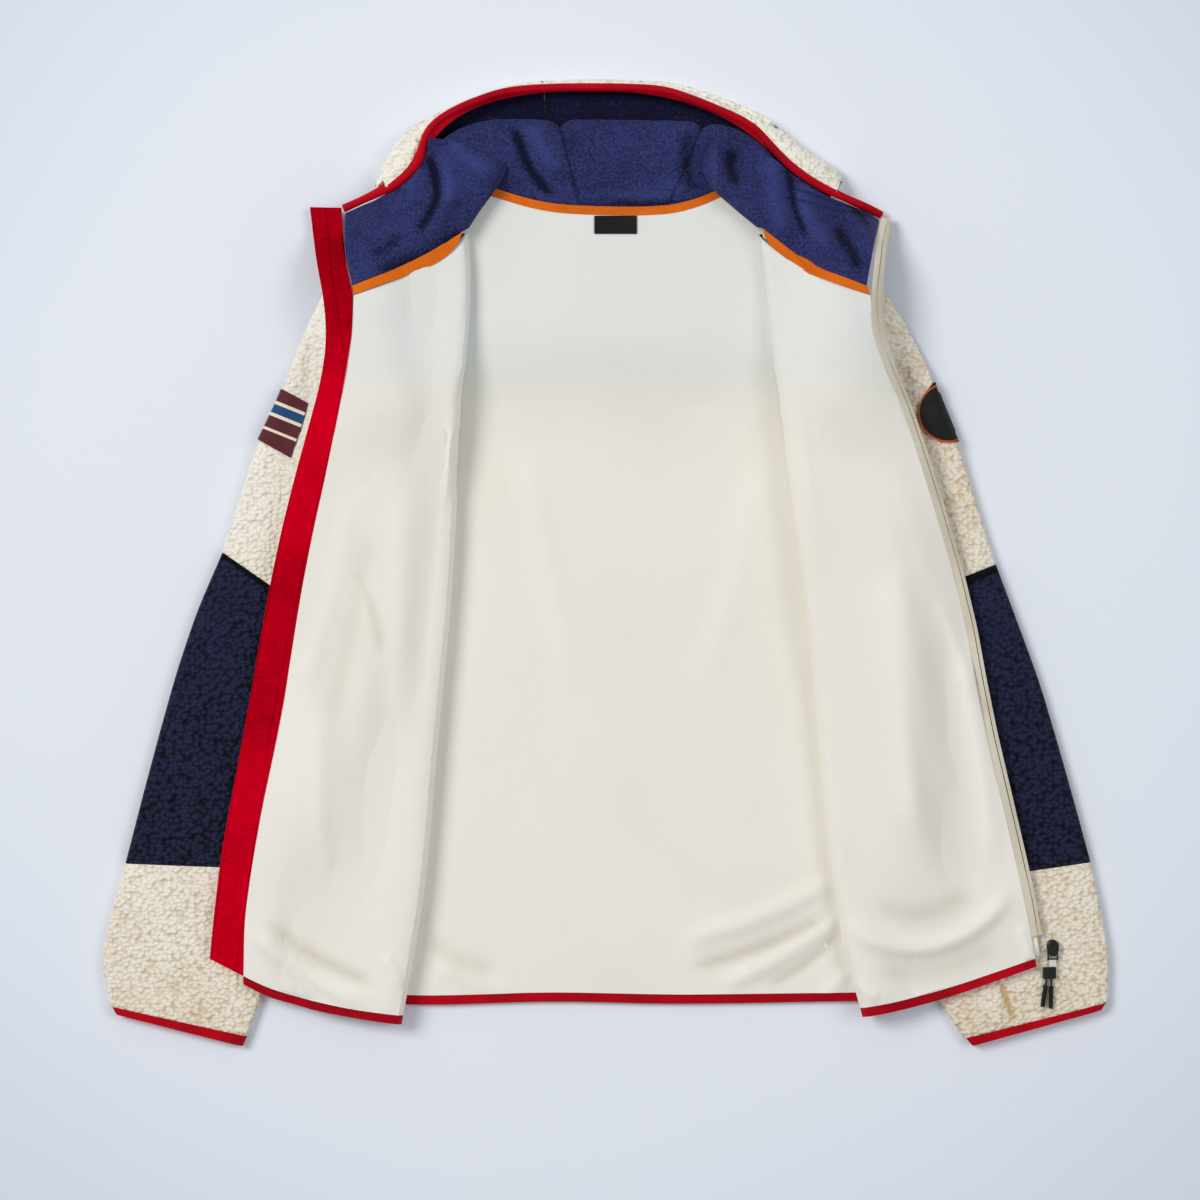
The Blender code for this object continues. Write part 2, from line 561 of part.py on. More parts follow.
def build_sleeve(side):
    word = WORDS[side]
    ends = [0, NAVY_TOP, NAVY_BOTTOM, 1 - BINDING / SLEEVE_LENGTH, 1]
    at, pieces = cuts(ends, [7, 5, 3, 1], GAP / SLEEVE_LENGTH)
    outer, inner = sleeve_surface(side, at), sleeve_surface(side, at, PILE)
    names = (("upper", "cream_pile"), ("middle", "navy_pile"), ("lower", "cream_pile"),
             ("cuff_binding", "red_cloth"))
    for rows, (piece, slot) in zip(pieces, names):
        wall(f"sleeve_{word}_{piece}", inner[rows, :-1], outer[rows, :-1], slot, ring=True)
    build_patch(side, outer[pieces[0]])


def on_facet(corners, down, across):
    """A point of a cell that is split from its first corner to the one opposite, as wall splits it."""
    (a, b), (c, d) = corners
    if across >= down:
        return a + (b - a) * across + (d - b) * down
    return a + (c - a) * down + (d - c) * across


def build_patch(side, surface):
    """A patch that wraps the sleeve's outer edge, made from the sleeve's own points, moved out."""
    patch = PATCHES[side]
    normals = ring_normals(surface)
    edge = surface[:, 0]
    nearest = np.argmin(np.hypot(edge[:, 0] - patch["x"], edge[:, 1] - patch["y"]))
    lengthwise = np.append(0, np.cumsum(np.linalg.norm(np.diff(edge, axis=0), axis=1)))
    run = edge[nearest] - edge[nearest - 1]
    shift = np.dot(np.array([patch["x"], patch["y"]]) - edge[nearest][:2], run[:2]) / np.hypot(*run[:2])
    middle = lengthwise[nearest] + shift
    ring = surface[nearest]
    round_it = np.append(0, np.cumsum(np.linalg.norm(np.diff(ring, axis=0), axis=1)))
    girth = round_it[-1]
    rows = []
    for v in np.linspace(-0.985, 0.985, patch["rows"] + 1):
        stops = np.array(patch["stops"], float)
        if patch["round"]:
            stops *= math.sqrt(1 - v * v)
        line = []
        at = np.interp(middle + v * patch["half_length"], lengthwise, np.arange(len(lengthwise)))
        low_row = min(int(at), len(surface) - 2)
        mix = at - low_row
        for stop in stops:
            place = stop % girth
            column = np.interp(place, round_it, np.arange(len(round_it)))
            left = min(int(column), surface.shape[1] - 2)
            share = column - left
            point, normal = (on_facet(field[low_row:low_row + 2, left:left + 2], mix, share)
                             for field in (surface, normals))
            line.append((point, normal / np.linalg.norm(normal)))
        rows.append(line)
    points = np.array(rows)
    low = points[:, :, 0] + points[:, :, 1] * patch["clearance"]
    wall(patch["name"], low, low + points[:, :, 1] * PATCH, patch["slot"])


def hood_grid():
    """Reference surface of the fallen hood, a column for each share from left to right.

    Each column runs from the neck seam over the roll, down and back under the yoke, round the hood's
    crown, forward along the ground and up to the brim. Gives the points, the normals and the panels' columns.
    """
    seam, across, panels = neck_points()
    seam = seam + np.array([0, NECK_TAPE])
    roll = along(LINES["hood roll"], across)
    crown = along(LINES["hood fold"], across)
    rim = along(LINES["hood rim"], across)
    brim_line = along(LINES["brim"], HOOD_CENTRE[0] + (HOOD_CENTRE[1] - HOOD_CENTRE[0]) * across)
    columns = []
    for u, a, b, c, d, e in zip(across, seam, roll, crown, rim, brim_line):
        centred = smooth_step((0.5 - abs(u - 0.5)) / 0.16)
        curl = 5.0 + 4.0 * centred
        forward = (b - a) / np.hypot(*(b - a))
        back = (c - b) / np.hypot(*(c - b))
        out = (d - c) / np.hypot(*(d - c))
        roll_radius = (HOOD_TOP - HOOD_BACK) / 2
        crown_radius = (HOOD_BACK - HOOD_FLOOR) / 2
        over = (forward - back) / np.hypot(*(forward - back))
        roll_at = b - over * (roll_radius + HOOD_FLEECE)
        bulge = (back - out) / np.hypot(*(back - out))
        crown_at = c - bulge * (crown_radius + PILE)
        rim_at = d - out * (curl + PILE)
        up = np.array([0, 0, 1.0])
        points = [(*(a * (1 - s) + roll_at * s), HOOD_TOP) for s in shares(2)[:-1]]
        facing = [up, up]
        for turn in shares(5):
            angle = math.pi * (0.5 - turn)
            place = roll_at + over * roll_radius * math.cos(angle)
            points.append((*place, (HOOD_TOP + HOOD_BACK) / 2 + roll_radius * math.sin(angle)))
            facing.append(np.array([*over * math.cos(angle), math.sin(angle)]))
        points.extend((*(roll_at * (1 - s) + crown_at * s), HOOD_BACK) for s in shares(3)[1:-1])
        facing += [-up, -up]
        for turn in shares(4):
            angle = math.pi * (0.5 - turn)
            place = crown_at + bulge * crown_radius * math.cos(angle)
            points.append((*place, (HOOD_BACK + HOOD_FLOOR) / 2 + crown_radius * math.sin(angle)))
            facing.append(-np.array([*bulge * math.cos(angle), math.sin(angle)]))
        points.extend((*(crown_at * (1 - s) + rim_at * s), HOOD_FLOOR) for s in shares(4)[1:-1])
        facing += [up, up, up]
        lean = math.radians(62) * (1 - centred)
        end = rim_at + out * curl
        outward = (end - e) / max(np.hypot(*(end - e)), 1)
        for turn in shares(4):
            angle = (math.pi / 2 + lean) * turn
            ahead = out * (1 - turn) + (out * centred + outward * (1 - centred)) * turn
            place = rim_at + ahead * curl * math.sin(angle)
            points.append((*place, HOOD_FLOOR + curl * (1 - math.cos(angle))))
            facing.append(np.array([*-ahead / np.hypot(*ahead) * math.sin(angle), math.cos(angle)]))
        end = end * centred + (e + outward * (BRIM_RADIUS + 1)) * (1 - centred)
        points.append((*end, BRIM_HEIGHT - BRIM_RADIUS - 2))
        facing.append(facing[-1])
        columns.append(np.array([points[::-1], facing[::-1]]))
    grid, normals = np.array(columns).transpose(1, 2, 0, 3)
    return grid, normals, panels


def build_hood():
    grid, normals, panels = hood_grid()
    every = slice(None)
    for word, columns in zip(("left", "centre", "right"), panels):
        layer(f"hood_{word}_shell", grid, every, columns, SHELL_LOW, PILE, "cream_pile", normals=normals)
        layer(f"hood_{word}_lining", grid, every, columns, LINING_LOW, HOOD_FLEECE, "navy_fleece",
              normals=normals)


def lapel_edge(side):
    """Edge of a lapel: up along the front's edge strip, then along the brim, clear of its binding."""
    start, end = (0, HOOD_CENTRE[0]) if side < 0 else (1, HOOD_CENTRE[1])
    brim = along(LINES["brim"], np.linspace(start, end, 9))
    run = np.gradient(brim, axis=0)
    inward = np.stack([run[:, 1], -run[:, 0]], axis=1) * -side / np.hypot(run[:, 0], run[:, 1])[:, None]
    return LINES[f"{WORDS[side]} lapel side"] + [tuple(p) for p in brim + inward * (BRIM_RADIUS + 3 * GAP)]


def build_lapel(side, front_row):
    """The hood's front end, turned out with the front, rolled down at its fold, and its neck tape."""
    word = WORDS[side]
    edge = np.array(lapel_edge(side), float)[::-1]
    across = shares(6)
    flat = coons(along(LINES[f"{word} lapel top"] + [tuple(edge[0])], across),
                 along(LINES[f"{word} lapel tape"] + [tuple(edge[-1])], across),
                 along(LINES[f"{word} lapel fold"][::-1], run_shares(edge)), edge)
    grid = with_height(flat, draped(side, flat[..., 0], flat[..., 1]))
    rolled = []
    for row in grid:
        out = (row[1, :2] - row[0, :2]) / np.hypot(*(row[1, :2] - row[0, :2]))
        curve = [(*(row[0, :2] + out * LAPEL_ROLL * (1 - math.cos(angle))),
                  row[0, 2] - LAPEL_ROLL * (1 - math.sin(angle)))
                 for angle in shares(3) * math.pi / 2]
        rolled.append(np.vstack([curve, row[1:]]))
    grid = np.array(rolled)
    grid = grid[:, ::-1] if side < 0 else grid
    every = slice(None)
    flat_part = slice(0, -3) if side < 0 else slice(3, None)
    layer(f"hood_{word}_lapel_shell", grid, every, flat_part, SHELL_LOW, PILE, "cream_pile")
    layer(f"hood_{word}_lapel_lining", grid, every, every, LINING_LOW, HOOD_FLEECE, "navy_fleece")
    upper = np.array(rolled)[-1, 3:]
    lower = front_row[7:14]
    inset = (lower - upper) / np.linalg.norm(lower - upper, axis=1, keepdims=True) * 2 * GAP
    tape = np.stack([upper + inset, lower - inset])
    tape = tape[:, ::-1] if side < 0 else tape
    wall(f"neck_tape_{word}", tape - np.array([0, 0, GAP * 2]), tape + np.array([0, 0, TAPE]), "orange_tape")


def build_neck():
    neck, _, panels = neck_points()
    seam = neck[without(len(neck), *(panel.start for panel in panels[1:]))]
    flat = np.stack([seam + np.array([0, NECK_TAPE - 1.5 * GAP]), seam + np.array([0, 1.5 * GAP])])
    low = with_height(flat, np.full(flat.shape[:2], HOOD_TOP - PILE))
    wall("neck_tape_back", low, low + np.array([0, 0, PILE + HOOD_FLEECE]), "orange_tape")
    x, y = np.meshgrid([LABEL["left"], LABEL["left"] + LABEL["width"]],
                       [LABEL["top"], LABEL["top"] - LABEL["height"]])
    low = with_height(np.stack([x, y], axis=-1), back_height(x, y) + LAYER + 2 * GAP)
    wall("neck_label", low, low + np.array([0, 0, LABEL["depth"]]), "black_label")


def build_brim():
    """The binding round the hood's front edge, a padded tape."""
    at = shares(40)
    line = along(LINES["brim"], at)
    side = np.where(line[:, 0] < 0, -1, 1)
    heights = np.array([float(draped(s, p[:1], p[1:])[0]) for s, p in zip(side, line)])
    open_hood = (smooth_step((at - HOOD_CENTRE[0] + 0.02) / 0.06)
                 * smooth_step((HOOD_CENTRE[1] + 0.02 - at) / 0.06))
    heights = heights * (1 - open_hood) + BRIM_HEIGHT * open_hood
    tube("brim_binding", with_height(line, heights), BRIM_RADIUS, 8, "red_cloth")


def tube(name, line, radius, sides, slot):
    run = np.gradient(line, axis=0)
    run /= np.linalg.norm(run, axis=1, keepdims=True)
    beside = np.cross(run, [0, 0, 1.0])
    beside /= np.linalg.norm(beside, axis=1, keepdims=True)
    above = np.cross(beside, run)
    bm = bmesh.new()
    rings = []
    for point, b, a in zip(line, beside, above):
        turns = [math.tau * (k + 0.5) / sides for k in range(sides)]
        rings.append([bm.verts.new((point + radius * (b * math.cos(t) + a * math.sin(t))) * MM)
                      for t in turns])
    for first, second in zip(rings, rings[1:]):
        for k in range(sides):
            bm.faces.new((first[k], first[k - 1], second[k - 1], second[k]))
    bm.faces.new(rings[0])
    bm.faces.new(rings[-1][::-1])
    bmesh.ops.recalc_face_normals(bm, faces=bm.faces)
    return finish(name, bm, slot)


def block(name, centre, size, slot, bevel=0.0, turn=0.0):
    """A box with its edges rounded, turned about Z."""
    bm = bmesh.new()
    bmesh.ops.create_cube(bm, size=1)
    bmesh.ops.scale(bm, vec=[s * MM for s in size], verts=bm.verts)
    if bevel:
        bmesh.ops.bevel(bm, geom=bm.edges[:], offset=bevel * MM, segments=2, profile=0.5, affect="EDGES",
                        material=-1)
    made = finish(name, bm, slot)
    made.location = [c * MM for c in centre]
    made.rotation_euler.z = turn
    return made


def rod(name, start, end, radius, slot, sides=10):
    start, end = np.array(start, float), np.array(end, float)
    run = (end - start) * MM
    length = float(np.linalg.norm(run))
    bm = bmesh.new()
    bmesh.ops.create_cone(bm, cap_ends=True, segments=sides, radius1=radius * MM, radius2=radius * MM,
                          depth=length)
    made = finish(name, bm, slot)
    made.location = (start + end) / 2 * MM
    made.rotation_mode = "QUATERNION"
    made.rotation_quaternion = Vector(run).to_track_quat("Z", "Y")
    return made


def join(base, helper):
    """Unites a helper solid with a part and hides the helper."""
    HELPERS.objects.link(helper)
    PARTS.objects.unlink(helper)
    helper.hide_render = True
    helper.display_type = "WIRE"
    union = base.modifiers.new(helper.name, "BOOLEAN")
    union.operation = "UNION"
    union.object = helper


def build_slider():
    """The slider at the chain's lower end, with the ears and pin that its pull hangs on."""
    x, y, bottom = SLIDER["x"], SLIDER["y"], SLIDER["bottom"]
    bm = bmesh.new()
    bmesh.ops.create_cone(bm, cap_ends=True, segments=20, radius1=0.5 * MM, radius2=0.5 * MM,
                          depth=SLIDER["depth"] * MM)
    for vertex in bm.verts:
        across, lengthwise = vertex.co.x / MM * SLIDER["width"], vertex.co.y / MM * SLIDER["length"]
        squared = np.sign(lengthwise) * SLIDER["length"] / 2 * abs(2 * lengthwise / SLIDER["length"]) ** 0.6
        narrow = 1 - 0.22 * smooth_step(0.5 - lengthwise / SLIDER["length"])
        vertex.co.x, vertex.co.y = across * narrow * MM, (squared if lengthwise < 0 else lengthwise) * MM
    bmesh.ops.bevel(bm, geom=[e for e in bm.edges if abs(e.verts[0].co.z - e.verts[1].co.z) < 1e-6],
                    offset=1.2 * MM, segments=2, profile=0.5, affect="EDGES", material=-1)
    slider = finish("zip_slider", bm, "black_plastic")
    slider.location = (x * MM, y * MM, (bottom + SLIDER["depth"] / 2) * MM)
    pin_z = bottom + SLIDER["depth"] / 2
    ear_top, ear_end = y - SLIDER["length"] / 2 + 4.0, PULL["pivot_y"] - 1.2
    for side in (-1, 1):
        ear_x = x + side * (PULL["band_width"] / 2 - 0.2)
        join(slider, block(f"slider_ear_{'left' if side < 0 else 'right'}", (ear_x, (ear_top + ear_end) / 2, pin_z),
                           (1.2, ear_top - ear_end, 2.4), "black_plastic"))
    reach = PULL["band_width"] / 2 - 0.2
    join(slider, rod("slider_pin", (x - reach, PULL["pivot_y"], pin_z), (x + reach, PULL["pivot_y"], pin_z),
                     PULL["pin_radius"], "black_plastic", 8))


def build_pull():
    """The pull that hangs on the slider: band, grip block and two cord tails with moulded tips."""
    x, z = SLIDER["x"], SLIDER["bottom"] + SLIDER["depth"] / 2
    top = PULL["pivot_y"] - PULL["pin_radius"] - GAP
    band_end = top - PULL["band_length"]
    block_end = band_end - GAP - PULL["block_length"]
    inner_width = PULL["band_width"] - 2.4
    block("pull_band", (x, (top + band_end) / 2, z), (inner_width, PULL["band_length"], PULL["band_depth"]),
          "white_band", 0.4)
    block("pull_block", (x - 3.0, (band_end - GAP + block_end) / 2, z),
          (PULL["block_width"], PULL["block_length"], PULL["block_depth"]), "black_plastic", 0.9)
    for word, start_x, end_x, drop in (("left", x - 5.6, x - 9.2, 0.0), ("right", x - 1.2, x - 1.8, 1.5)):
        start = np.array([start_x, block_end - GAP, z])
        end = np.array([end_x, block_end - GAP - 25.0 - drop, z])
        split = start + (end - start) * (1 - PULL["tip_length"] / np.linalg.norm(end - start))
        along_it = (end - start) / np.linalg.norm(end - start)
        tail = rod(f"pull_tail_{word}", split - along_it * 1.5, end, PULL["tip_radius"], "black_cord")
        join(tail, rod(f"tail_cord_{word}", start, split + along_it * 2, PULL["tail_radius"], "black_cord", 8))


clear_scene()
PARTS = collection("hooded_fleece_jacket")
HELPERS = collection("helpers", hidden=True)
build_back()
build_sleeve(-1)
build_sleeve(1)
build_hood()
build_lapel(-1, build_front(-1, LEFT_FOLDS))
build_lapel(1, build_front(1, RIGHT_FOLDS))
build_neck()
build_brim()
build_slider()
build_pull()
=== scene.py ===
import math
import bpy
import bmesh
import numpy as np
from mathutils import Matrix, Vector
from mathutils.bvhtree import BVHTree


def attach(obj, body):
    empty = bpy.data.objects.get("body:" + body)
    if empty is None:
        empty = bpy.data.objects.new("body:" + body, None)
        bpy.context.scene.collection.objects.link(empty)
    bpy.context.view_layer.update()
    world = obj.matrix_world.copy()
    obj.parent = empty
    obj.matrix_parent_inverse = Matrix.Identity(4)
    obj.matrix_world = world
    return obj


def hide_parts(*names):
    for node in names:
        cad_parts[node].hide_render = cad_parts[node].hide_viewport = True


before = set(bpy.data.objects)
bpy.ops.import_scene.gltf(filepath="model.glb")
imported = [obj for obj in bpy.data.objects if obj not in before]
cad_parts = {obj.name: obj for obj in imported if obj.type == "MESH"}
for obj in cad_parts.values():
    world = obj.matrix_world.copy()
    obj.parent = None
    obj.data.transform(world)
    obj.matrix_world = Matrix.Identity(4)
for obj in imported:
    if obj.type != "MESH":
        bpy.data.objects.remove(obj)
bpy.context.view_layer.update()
print("frame loaded")

# the photo's pixel that is the origin, and millimetres to a pixel; cloth is shaped in millimetres
photo = {"x": 605.5, "y": 562, "mm": 0.9}
metre = 1000
floorGap = 0.02
seamCosine = 0.75


# the points of a CAD node, merged, and its triangles
def nodeMesh(name):
    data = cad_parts[name].data
    data.calc_loop_triangles()
    points = np.zeros(len(data.vertices) * 3)
    data.vertices.foreach_get("co", points)
    corners = np.zeros(len(data.loop_triangles) * 3, np.int64)
    data.loop_triangles.foreach_get("vertices", corners)
    points, back = np.unique(np.round(points.reshape(-1, 3), 6), axis=0, return_inverse=True)
    triangles = back.reshape(-1)[corners].reshape(-1, 3)
    a, b, c = triangles.T
    return points, triangles[(a != b) & (b != c) & (a != c)]


# each edge once, and for every triangle the numbers of its three edges
def edgesOf(triangles):
    pairs = np.sort(np.concatenate([triangles[:, [0, 1]], triangles[:, [1, 2]], triangles[:, [2, 0]]]), axis=1)
    edges, back = np.unique(pairs, axis=0, return_inverse=True)
    return edges, back.reshape(3, -1).T


def faceNormals(points, triangles):
    a, b, c = (points[triangles[:, i]] for i in range(3))
    return np.cross(b - a, c - a)


def unit(vectors):
    return vectors / np.maximum(np.linalg.norm(vectors, axis=1), 1e-12)[:, None]


def vertexNormals(points, triangles):
    faces = faceNormals(points, triangles)
    total = np.zeros_like(points)
    for i in range(3):
        for k in range(3):
            total[:, k] += np.bincount(triangles[:, i], faces[:, k], len(points))
    return unit(total)


# edges are halved until none is longer than its cell, which may be larger on faces that look down
def refined(points, triangles, top, under):
    for _ in range(9):
        edges, sides = edgesOf(triangles)
        facing = vertexNormals(points, triangles)[:, 2]
        a, b = edges.T
        wanted = np.where(facing[a] + facing[b] > -0.5, top, under)
        long = np.linalg.norm(points[a] - points[b], axis=1) > 1.4 * wanted
        if not long.any():
            break
        middle = np.full(len(edges), -1)
        middle[long] = len(points) + np.arange(long.sum())
        points = np.concatenate([points, (points[a[long]] + points[b[long]]) / 2])
        mids = middle[sides]
        count = (mids >= 0).sum(axis=1)
        made = [triangles[count == 0]]
        for wantedCount, first in ((1, mids >= 0), (2, mids < 0)):
            chosen = count == wantedCount
            turn = np.argmax(first[chosen], axis=1)[:, None]
            order = (turn + np.arange(3)) % 3
            t = np.take_along_axis(triangles[chosen], order, 1)
            m = np.take_along_axis(mids[chosen], order, 1)
            if wantedCount == 1:
                made += [np.stack([t[:, 0], m[:, 0], t[:, 2]], 1), np.stack([m[:, 0], t[:, 1], t[:, 2]], 1)]
            else:
                made += [np.stack([m[:, 1], t[:, 2], m[:, 2]], 1), np.stack([t[:, 0], t[:, 1], m[:, 1]], 1),
                         np.stack([t[:, 0], m[:, 1], m[:, 2]], 1)]
        t, m = triangles[count == 3], mids[count == 3]
        made += [np.stack([t[:, 0], m[:, 0], m[:, 2]], 1), np.stack([m[:, 0], t[:, 1], m[:, 1]], 1),
                 np.stack([m[:, 2], m[:, 1], t[:, 2]], 1), m]
        triangles = np.concatenate(made)
    return points, triangles


# the mean of each point's neighbours along the pairs, and how many it has
def averaged(values, pairs):
    a, b = pairs.T
    count = np.bincount(a, minlength=len(values)) + np.bincount(b, minlength=len(values))
    total = np.empty_like(values)
    for k in range(values.shape[1]):
        total[:, k] = (np.bincount(a, values[b, k], len(values)) + np.bincount(b, values[a, k], len(values)))
    return total / np.maximum(count, 1)[:, None], count


# all edges, and which of them turn by more than the angle of that cosine
def sharpEdges(points, triangles, cosine):
    normals = unit(faceNormals(points, triangles))
    edges, sides = edgesOf(triangles)
    order = np.argsort(sides.reshape(-1), kind="stable")
    owners = np.repeat(np.arange(len(triangles)), 3)[order].reshape(-1, 2)
    return edges, np.einsum("ij,ij->i", normals[owners[:, 0]], normals[owners[:, 1]]) < cosine


# facets are smoothed away; points on a sharp edge move only along it, and its corners stay
def smoothed(points, triangles, steps):
    edges, sharp = sharpEdges(points, triangles, seamCosine)
    rim = edges[sharp]
    for _ in range(steps):
        means, _ = averaged(points, edges)
        along, count = averaged(points, rim)
        moved = np.where((count == 2)[:, None], along, means)
        moved[(count != 2) & (count != 0)] = points[(count != 2) & (count != 0)]
        points = points + 0.5 * (moved - points)
    return points


# a fixed number between 0 and 1 for each cell of a grid
def scrambled(cells, seed):
    value = (cells[..., 0] * 374761393 + cells[..., 1] * 668265263 + cells[..., 2] * 2246822519 + seed * 3266489917)
    value = (value ^ (value >> 13)) * 1274126177 & 0xffffffff
    return ((value ^ (value >> 16)) & 0xffff) / 65535.0


# smooth unevenness between -1 and 1
def grain(points, size, seed):
    cells = np.floor(points / size).astype(np.int64)
    share = points / size - cells
    share = share * share * (3 - 2 * share)
    total = 0
    for corner in np.ndindex(2, 2, 2):
        weight = np.prod(np.where(np.array(corner) == 1, share, 1 - share), axis=1)
        total = total + weight * scrambled(cells + np.array(corner), seed)
    return total * 2 - 1


# distances to the nearest and second nearest tuft, in tuft sizes
def tufts(points, size, seed):
    cells = np.floor(points / size).astype(np.int64)
    nearest = np.full(len(points), 9.0)
    second = np.full(len(points), 9.0)
    for corner in np.ndindex(3, 3, 3):
        near = cells + np.array(corner) - 1
        place = np.stack([scrambled(near, seed + k) for k in range(3)], 1)
        far = np.linalg.norm(near + 0.1 + 0.8 * place - points / size, axis=1)
        second = np.minimum(second, np.maximum(far, nearest))
        nearest = np.minimum(nearest, far)
    return nearest, second


# distance to a line, the share of its length, the side (1 is left of its run) and the nearest place on it
def lineDistance(x, y, line):
    best = np.full(len(x), 1e9)
    share, side, footX, footY = (np.zeros(len(x)) for _ in range(4))
    spans = np.hypot(*np.diff(np.array(line), axis=0).T)
    walked = 0
    for (x0, y0), (x1, y1), span in zip(line, line[1:], spans):
        dx, dy = (x1 - x0) / span, (y1 - y0) / span
        t = np.clip(((x - x0) * dx + (y - y0) * dy) / span, 0, 1)
        onX, onY = x0 + t * span * dx, y0 + t * span * dy
        far = np.hypot(x - onX, y - onY)
        closer = far < best
        best = np.where(closer, far, best)
        share = np.where(closer, (walked + t * span) / spans.sum(), share)
        side = np.where(closer, np.sign(dx * (y - onY) - dy * (x - onX)), side)
        footX, footY = np.where(closer, onX, footX), np.where(closer, onY, footY)
        walked += span
    return best, share, side, footX, footY


# a line with its corners cut
def rounded(line, times=2):
    for _ in range(times):
        points = np.array(line, float)
        cut = np.concatenate([points[:-1] * 0.75 + points[1:] * 0.25, points[:-1] * 0.25 + points[1:] * 0.75], 1)
        line = [tuple(points[0]), *map(tuple, cut.reshape(-1, 2)), tuple(points[-1])]
    return line


# places in the photo as millimetres from the origin
def spots(pixels):
    return [((x - photo["x"]) * photo["mm"], (photo["y"] - y) * photo["mm"]) for x, y in pixels]


# a trough sinks by at most "deepest" and gets painted shade as dark as one of depth "darkest"; a ridge is painted
# lighter, a painted highlight
crease = {"reach": 3, "fade": 5, "deepest": 1.0, "darkest": 4, "lightest": 0.25, "lightening": 20}


# lift, painted shade and painted highlight from creases: each is its half width, its height (a trough's is negative)
# and its line in pixels
def foldLift(x, y, folds):
    lift, creaseShade = np.zeros(len(x)), np.zeros(len(x))
    for width, height, *pixels in folds:
        line = rounded(spots(pixels))
        xs, ys = zip(*line)
        reach = crease["reach"] * width
        near = (x > min(xs) - reach) & (x < max(xs) + reach) & (y > min(ys) - reach) & (y < max(ys) + reach)
        far, share, *_ = lineDistance(x[near], y[near], line)
        fade = np.clip(np.minimum(share, 1 - share) * crease["fade"], 0, 1)
        bulge = np.exp(-(far / width) ** 2) * fade * fade * (3 - 2 * fade)
        lift[near] += max(height, -crease["deepest"]) * bulge
        if height < 0:
            creaseShade[near] = np.maximum(creaseShade[near], bulge * min(1, -height / crease["darkest"]))
        else:
            creaseShade[near] -= bulge * min(crease["lightest"], height / crease["lightening"])
    return lift, creaseShade


# a socket that can be counted with: each operation adds a node to its tree
class Wire:
    def __init__(self, tree, socket):
        self.tree, self.socket = tree, socket

    def node(self, kind, inputs=None, output=0, **settings):
        made = self.tree.nodes.new("ShaderNode" + kind)
        for key, value in settings.items():
            setattr(made, key, value)
        for key, value in (inputs or {}).items():
            if isinstance(value, Wire):
                self.tree.links.new(value.socket, made.inputs[key])
            else:
                made.inputs[key].default_value = value
        return Wire(self.tree, made.outputs[output])

    def maths(self, operation, *values):
        return self.node("Math", dict(enumerate(values)), operation=operation)

    def __add__(self, other):
        return self.maths("ADD", self, other)

    def __radd__(self, other):
        return self.maths("ADD", other, self)

    def __sub__(self, other):
        return self.maths("SUBTRACT", self, other)

    def __rsub__(self, other):
        return self.maths("SUBTRACT", other, self)

    def __mul__(self, other):
        return self.maths("MULTIPLY", self, other)

    def sine(self):
        return self.maths("SINE", self)

    def size(self):
        return self.maths("ABSOLUTE", self)

    def over(self, limit):
        return self.maths("GREATER_THAN", self, limit)

    def under(self, limit):
        return self.maths("LESS_THAN", self, limit)

    def within(self, low, high):
        return self.node("MapRange", {"Value": self, "From Min": low, "From Max": high},
                         interpolation_type="SMOOTHSTEP")

    def mix(self, first, second):
        return self.node("Mix", {0: self, 6: first, 7: second}, output=2, data_type="RGBA")

    def bump(self, distance, strength=1.0):
        return self.node("Bump", {"Height": self, "Distance": distance, "Strength": strength})


# a colour given as screen values from 0 to 255
def linear(*shades):
    return (*((s / 255 / 12.92 if s <= 10 else ((s / 255 + 0.055) / 1.055) ** 2.4) for s in shades), 1)


# a material: paint gives the inputs that vary, constants the ones that do not
def fabric(name, paint, **constants):
    made = bpy.data.materials.new(name)
    made.use_nodes = True
    tree = made.node_tree
    shader = tree.nodes["Principled BSDF"]
    for key, value in constants.items():
        shader.inputs[key.replace("_", " ")].default_value = value
    start = Wire(tree, None)
    place = start.node("TexCoord", output=3)
    for key, value in paint(start, place).items():
        tree.links.new(value.socket, shader.inputs[key.replace("_", " ")])
    return made


def attribute(start, name):
    return start.node("Attribute", output=2, attribute_name=name)


def speckle(place, scale, detail=3.0, roughness=0.5):
    return place.node("TexNoise", {"Vector": place, "Scale": scale, "Detail": detail, "Roughness": roughness})


# pile fleece: rounded tufts with painted shade in the gaps between them and deeper in the pile, seen from above, so
# that heights count little
def pilePaint(light, dark, tuft, depth, relief):
    def paint(start, place):
        dip = attribute(start, "dip")
        shade = attribute(start, "shade")
        bend = place.node("TexNoise", {"Vector": place, "Scale": 190.0, "Detail": 2.0}, output=1)
        flat = place.node("VectorMath", {0: place, 1: (0.9, 1.1, 0.12)}, operation="MULTIPLY")
        warped = place.node("MixRGB", {0: 0.0022, 1: flat, 2: bend}, blend_type="ADD")
        near = place.node("TexVoronoi", {"Vector": warped, "Scale": 1 / tuft, "Randomness": 0.85, "Smoothness": 0.5},
                          feature="SMOOTH_F1")
        fine = speckle(place, 900.0, 3.0, 0.6)
        gapShade = near.within(0.28, 0.8)
        # the colour mixes the painted shade of the gaps, of dip and of the shade attribute with random tone
        tone = (gapShade * depth + dip * depth * 0.15 + (speckle(place, 30.0) - 0.5) * 0.4
                + (fine - 0.5) * 0.25 + shade).within(0, 1.0)
        return {"Base_Color": tone.mix(light, dark),
                "Normal": ((1.0 - near * near * 1.6) + speckle(place, 120.0) * 0.5 + fine * 0.12).bump(relief, 0.8)}
    return paint


# smooth fleece, rubber and cord
def weavePaint(light, dark, blotches, scale, relief, fleck=0.8):
    def paint(start, place):
        shade = attribute(start, "shade")
        fine = speckle(place, scale)
        tone = (0.5 + (speckle(place, blotches) - 0.5) * 0.5 + (fine - 0.5) * fleck - shade).within(0.0, 1.0)
        return {"Base_Color": tone.mix(dark, light), "Normal": fine.bump(relief, 0.6)}
    return paint


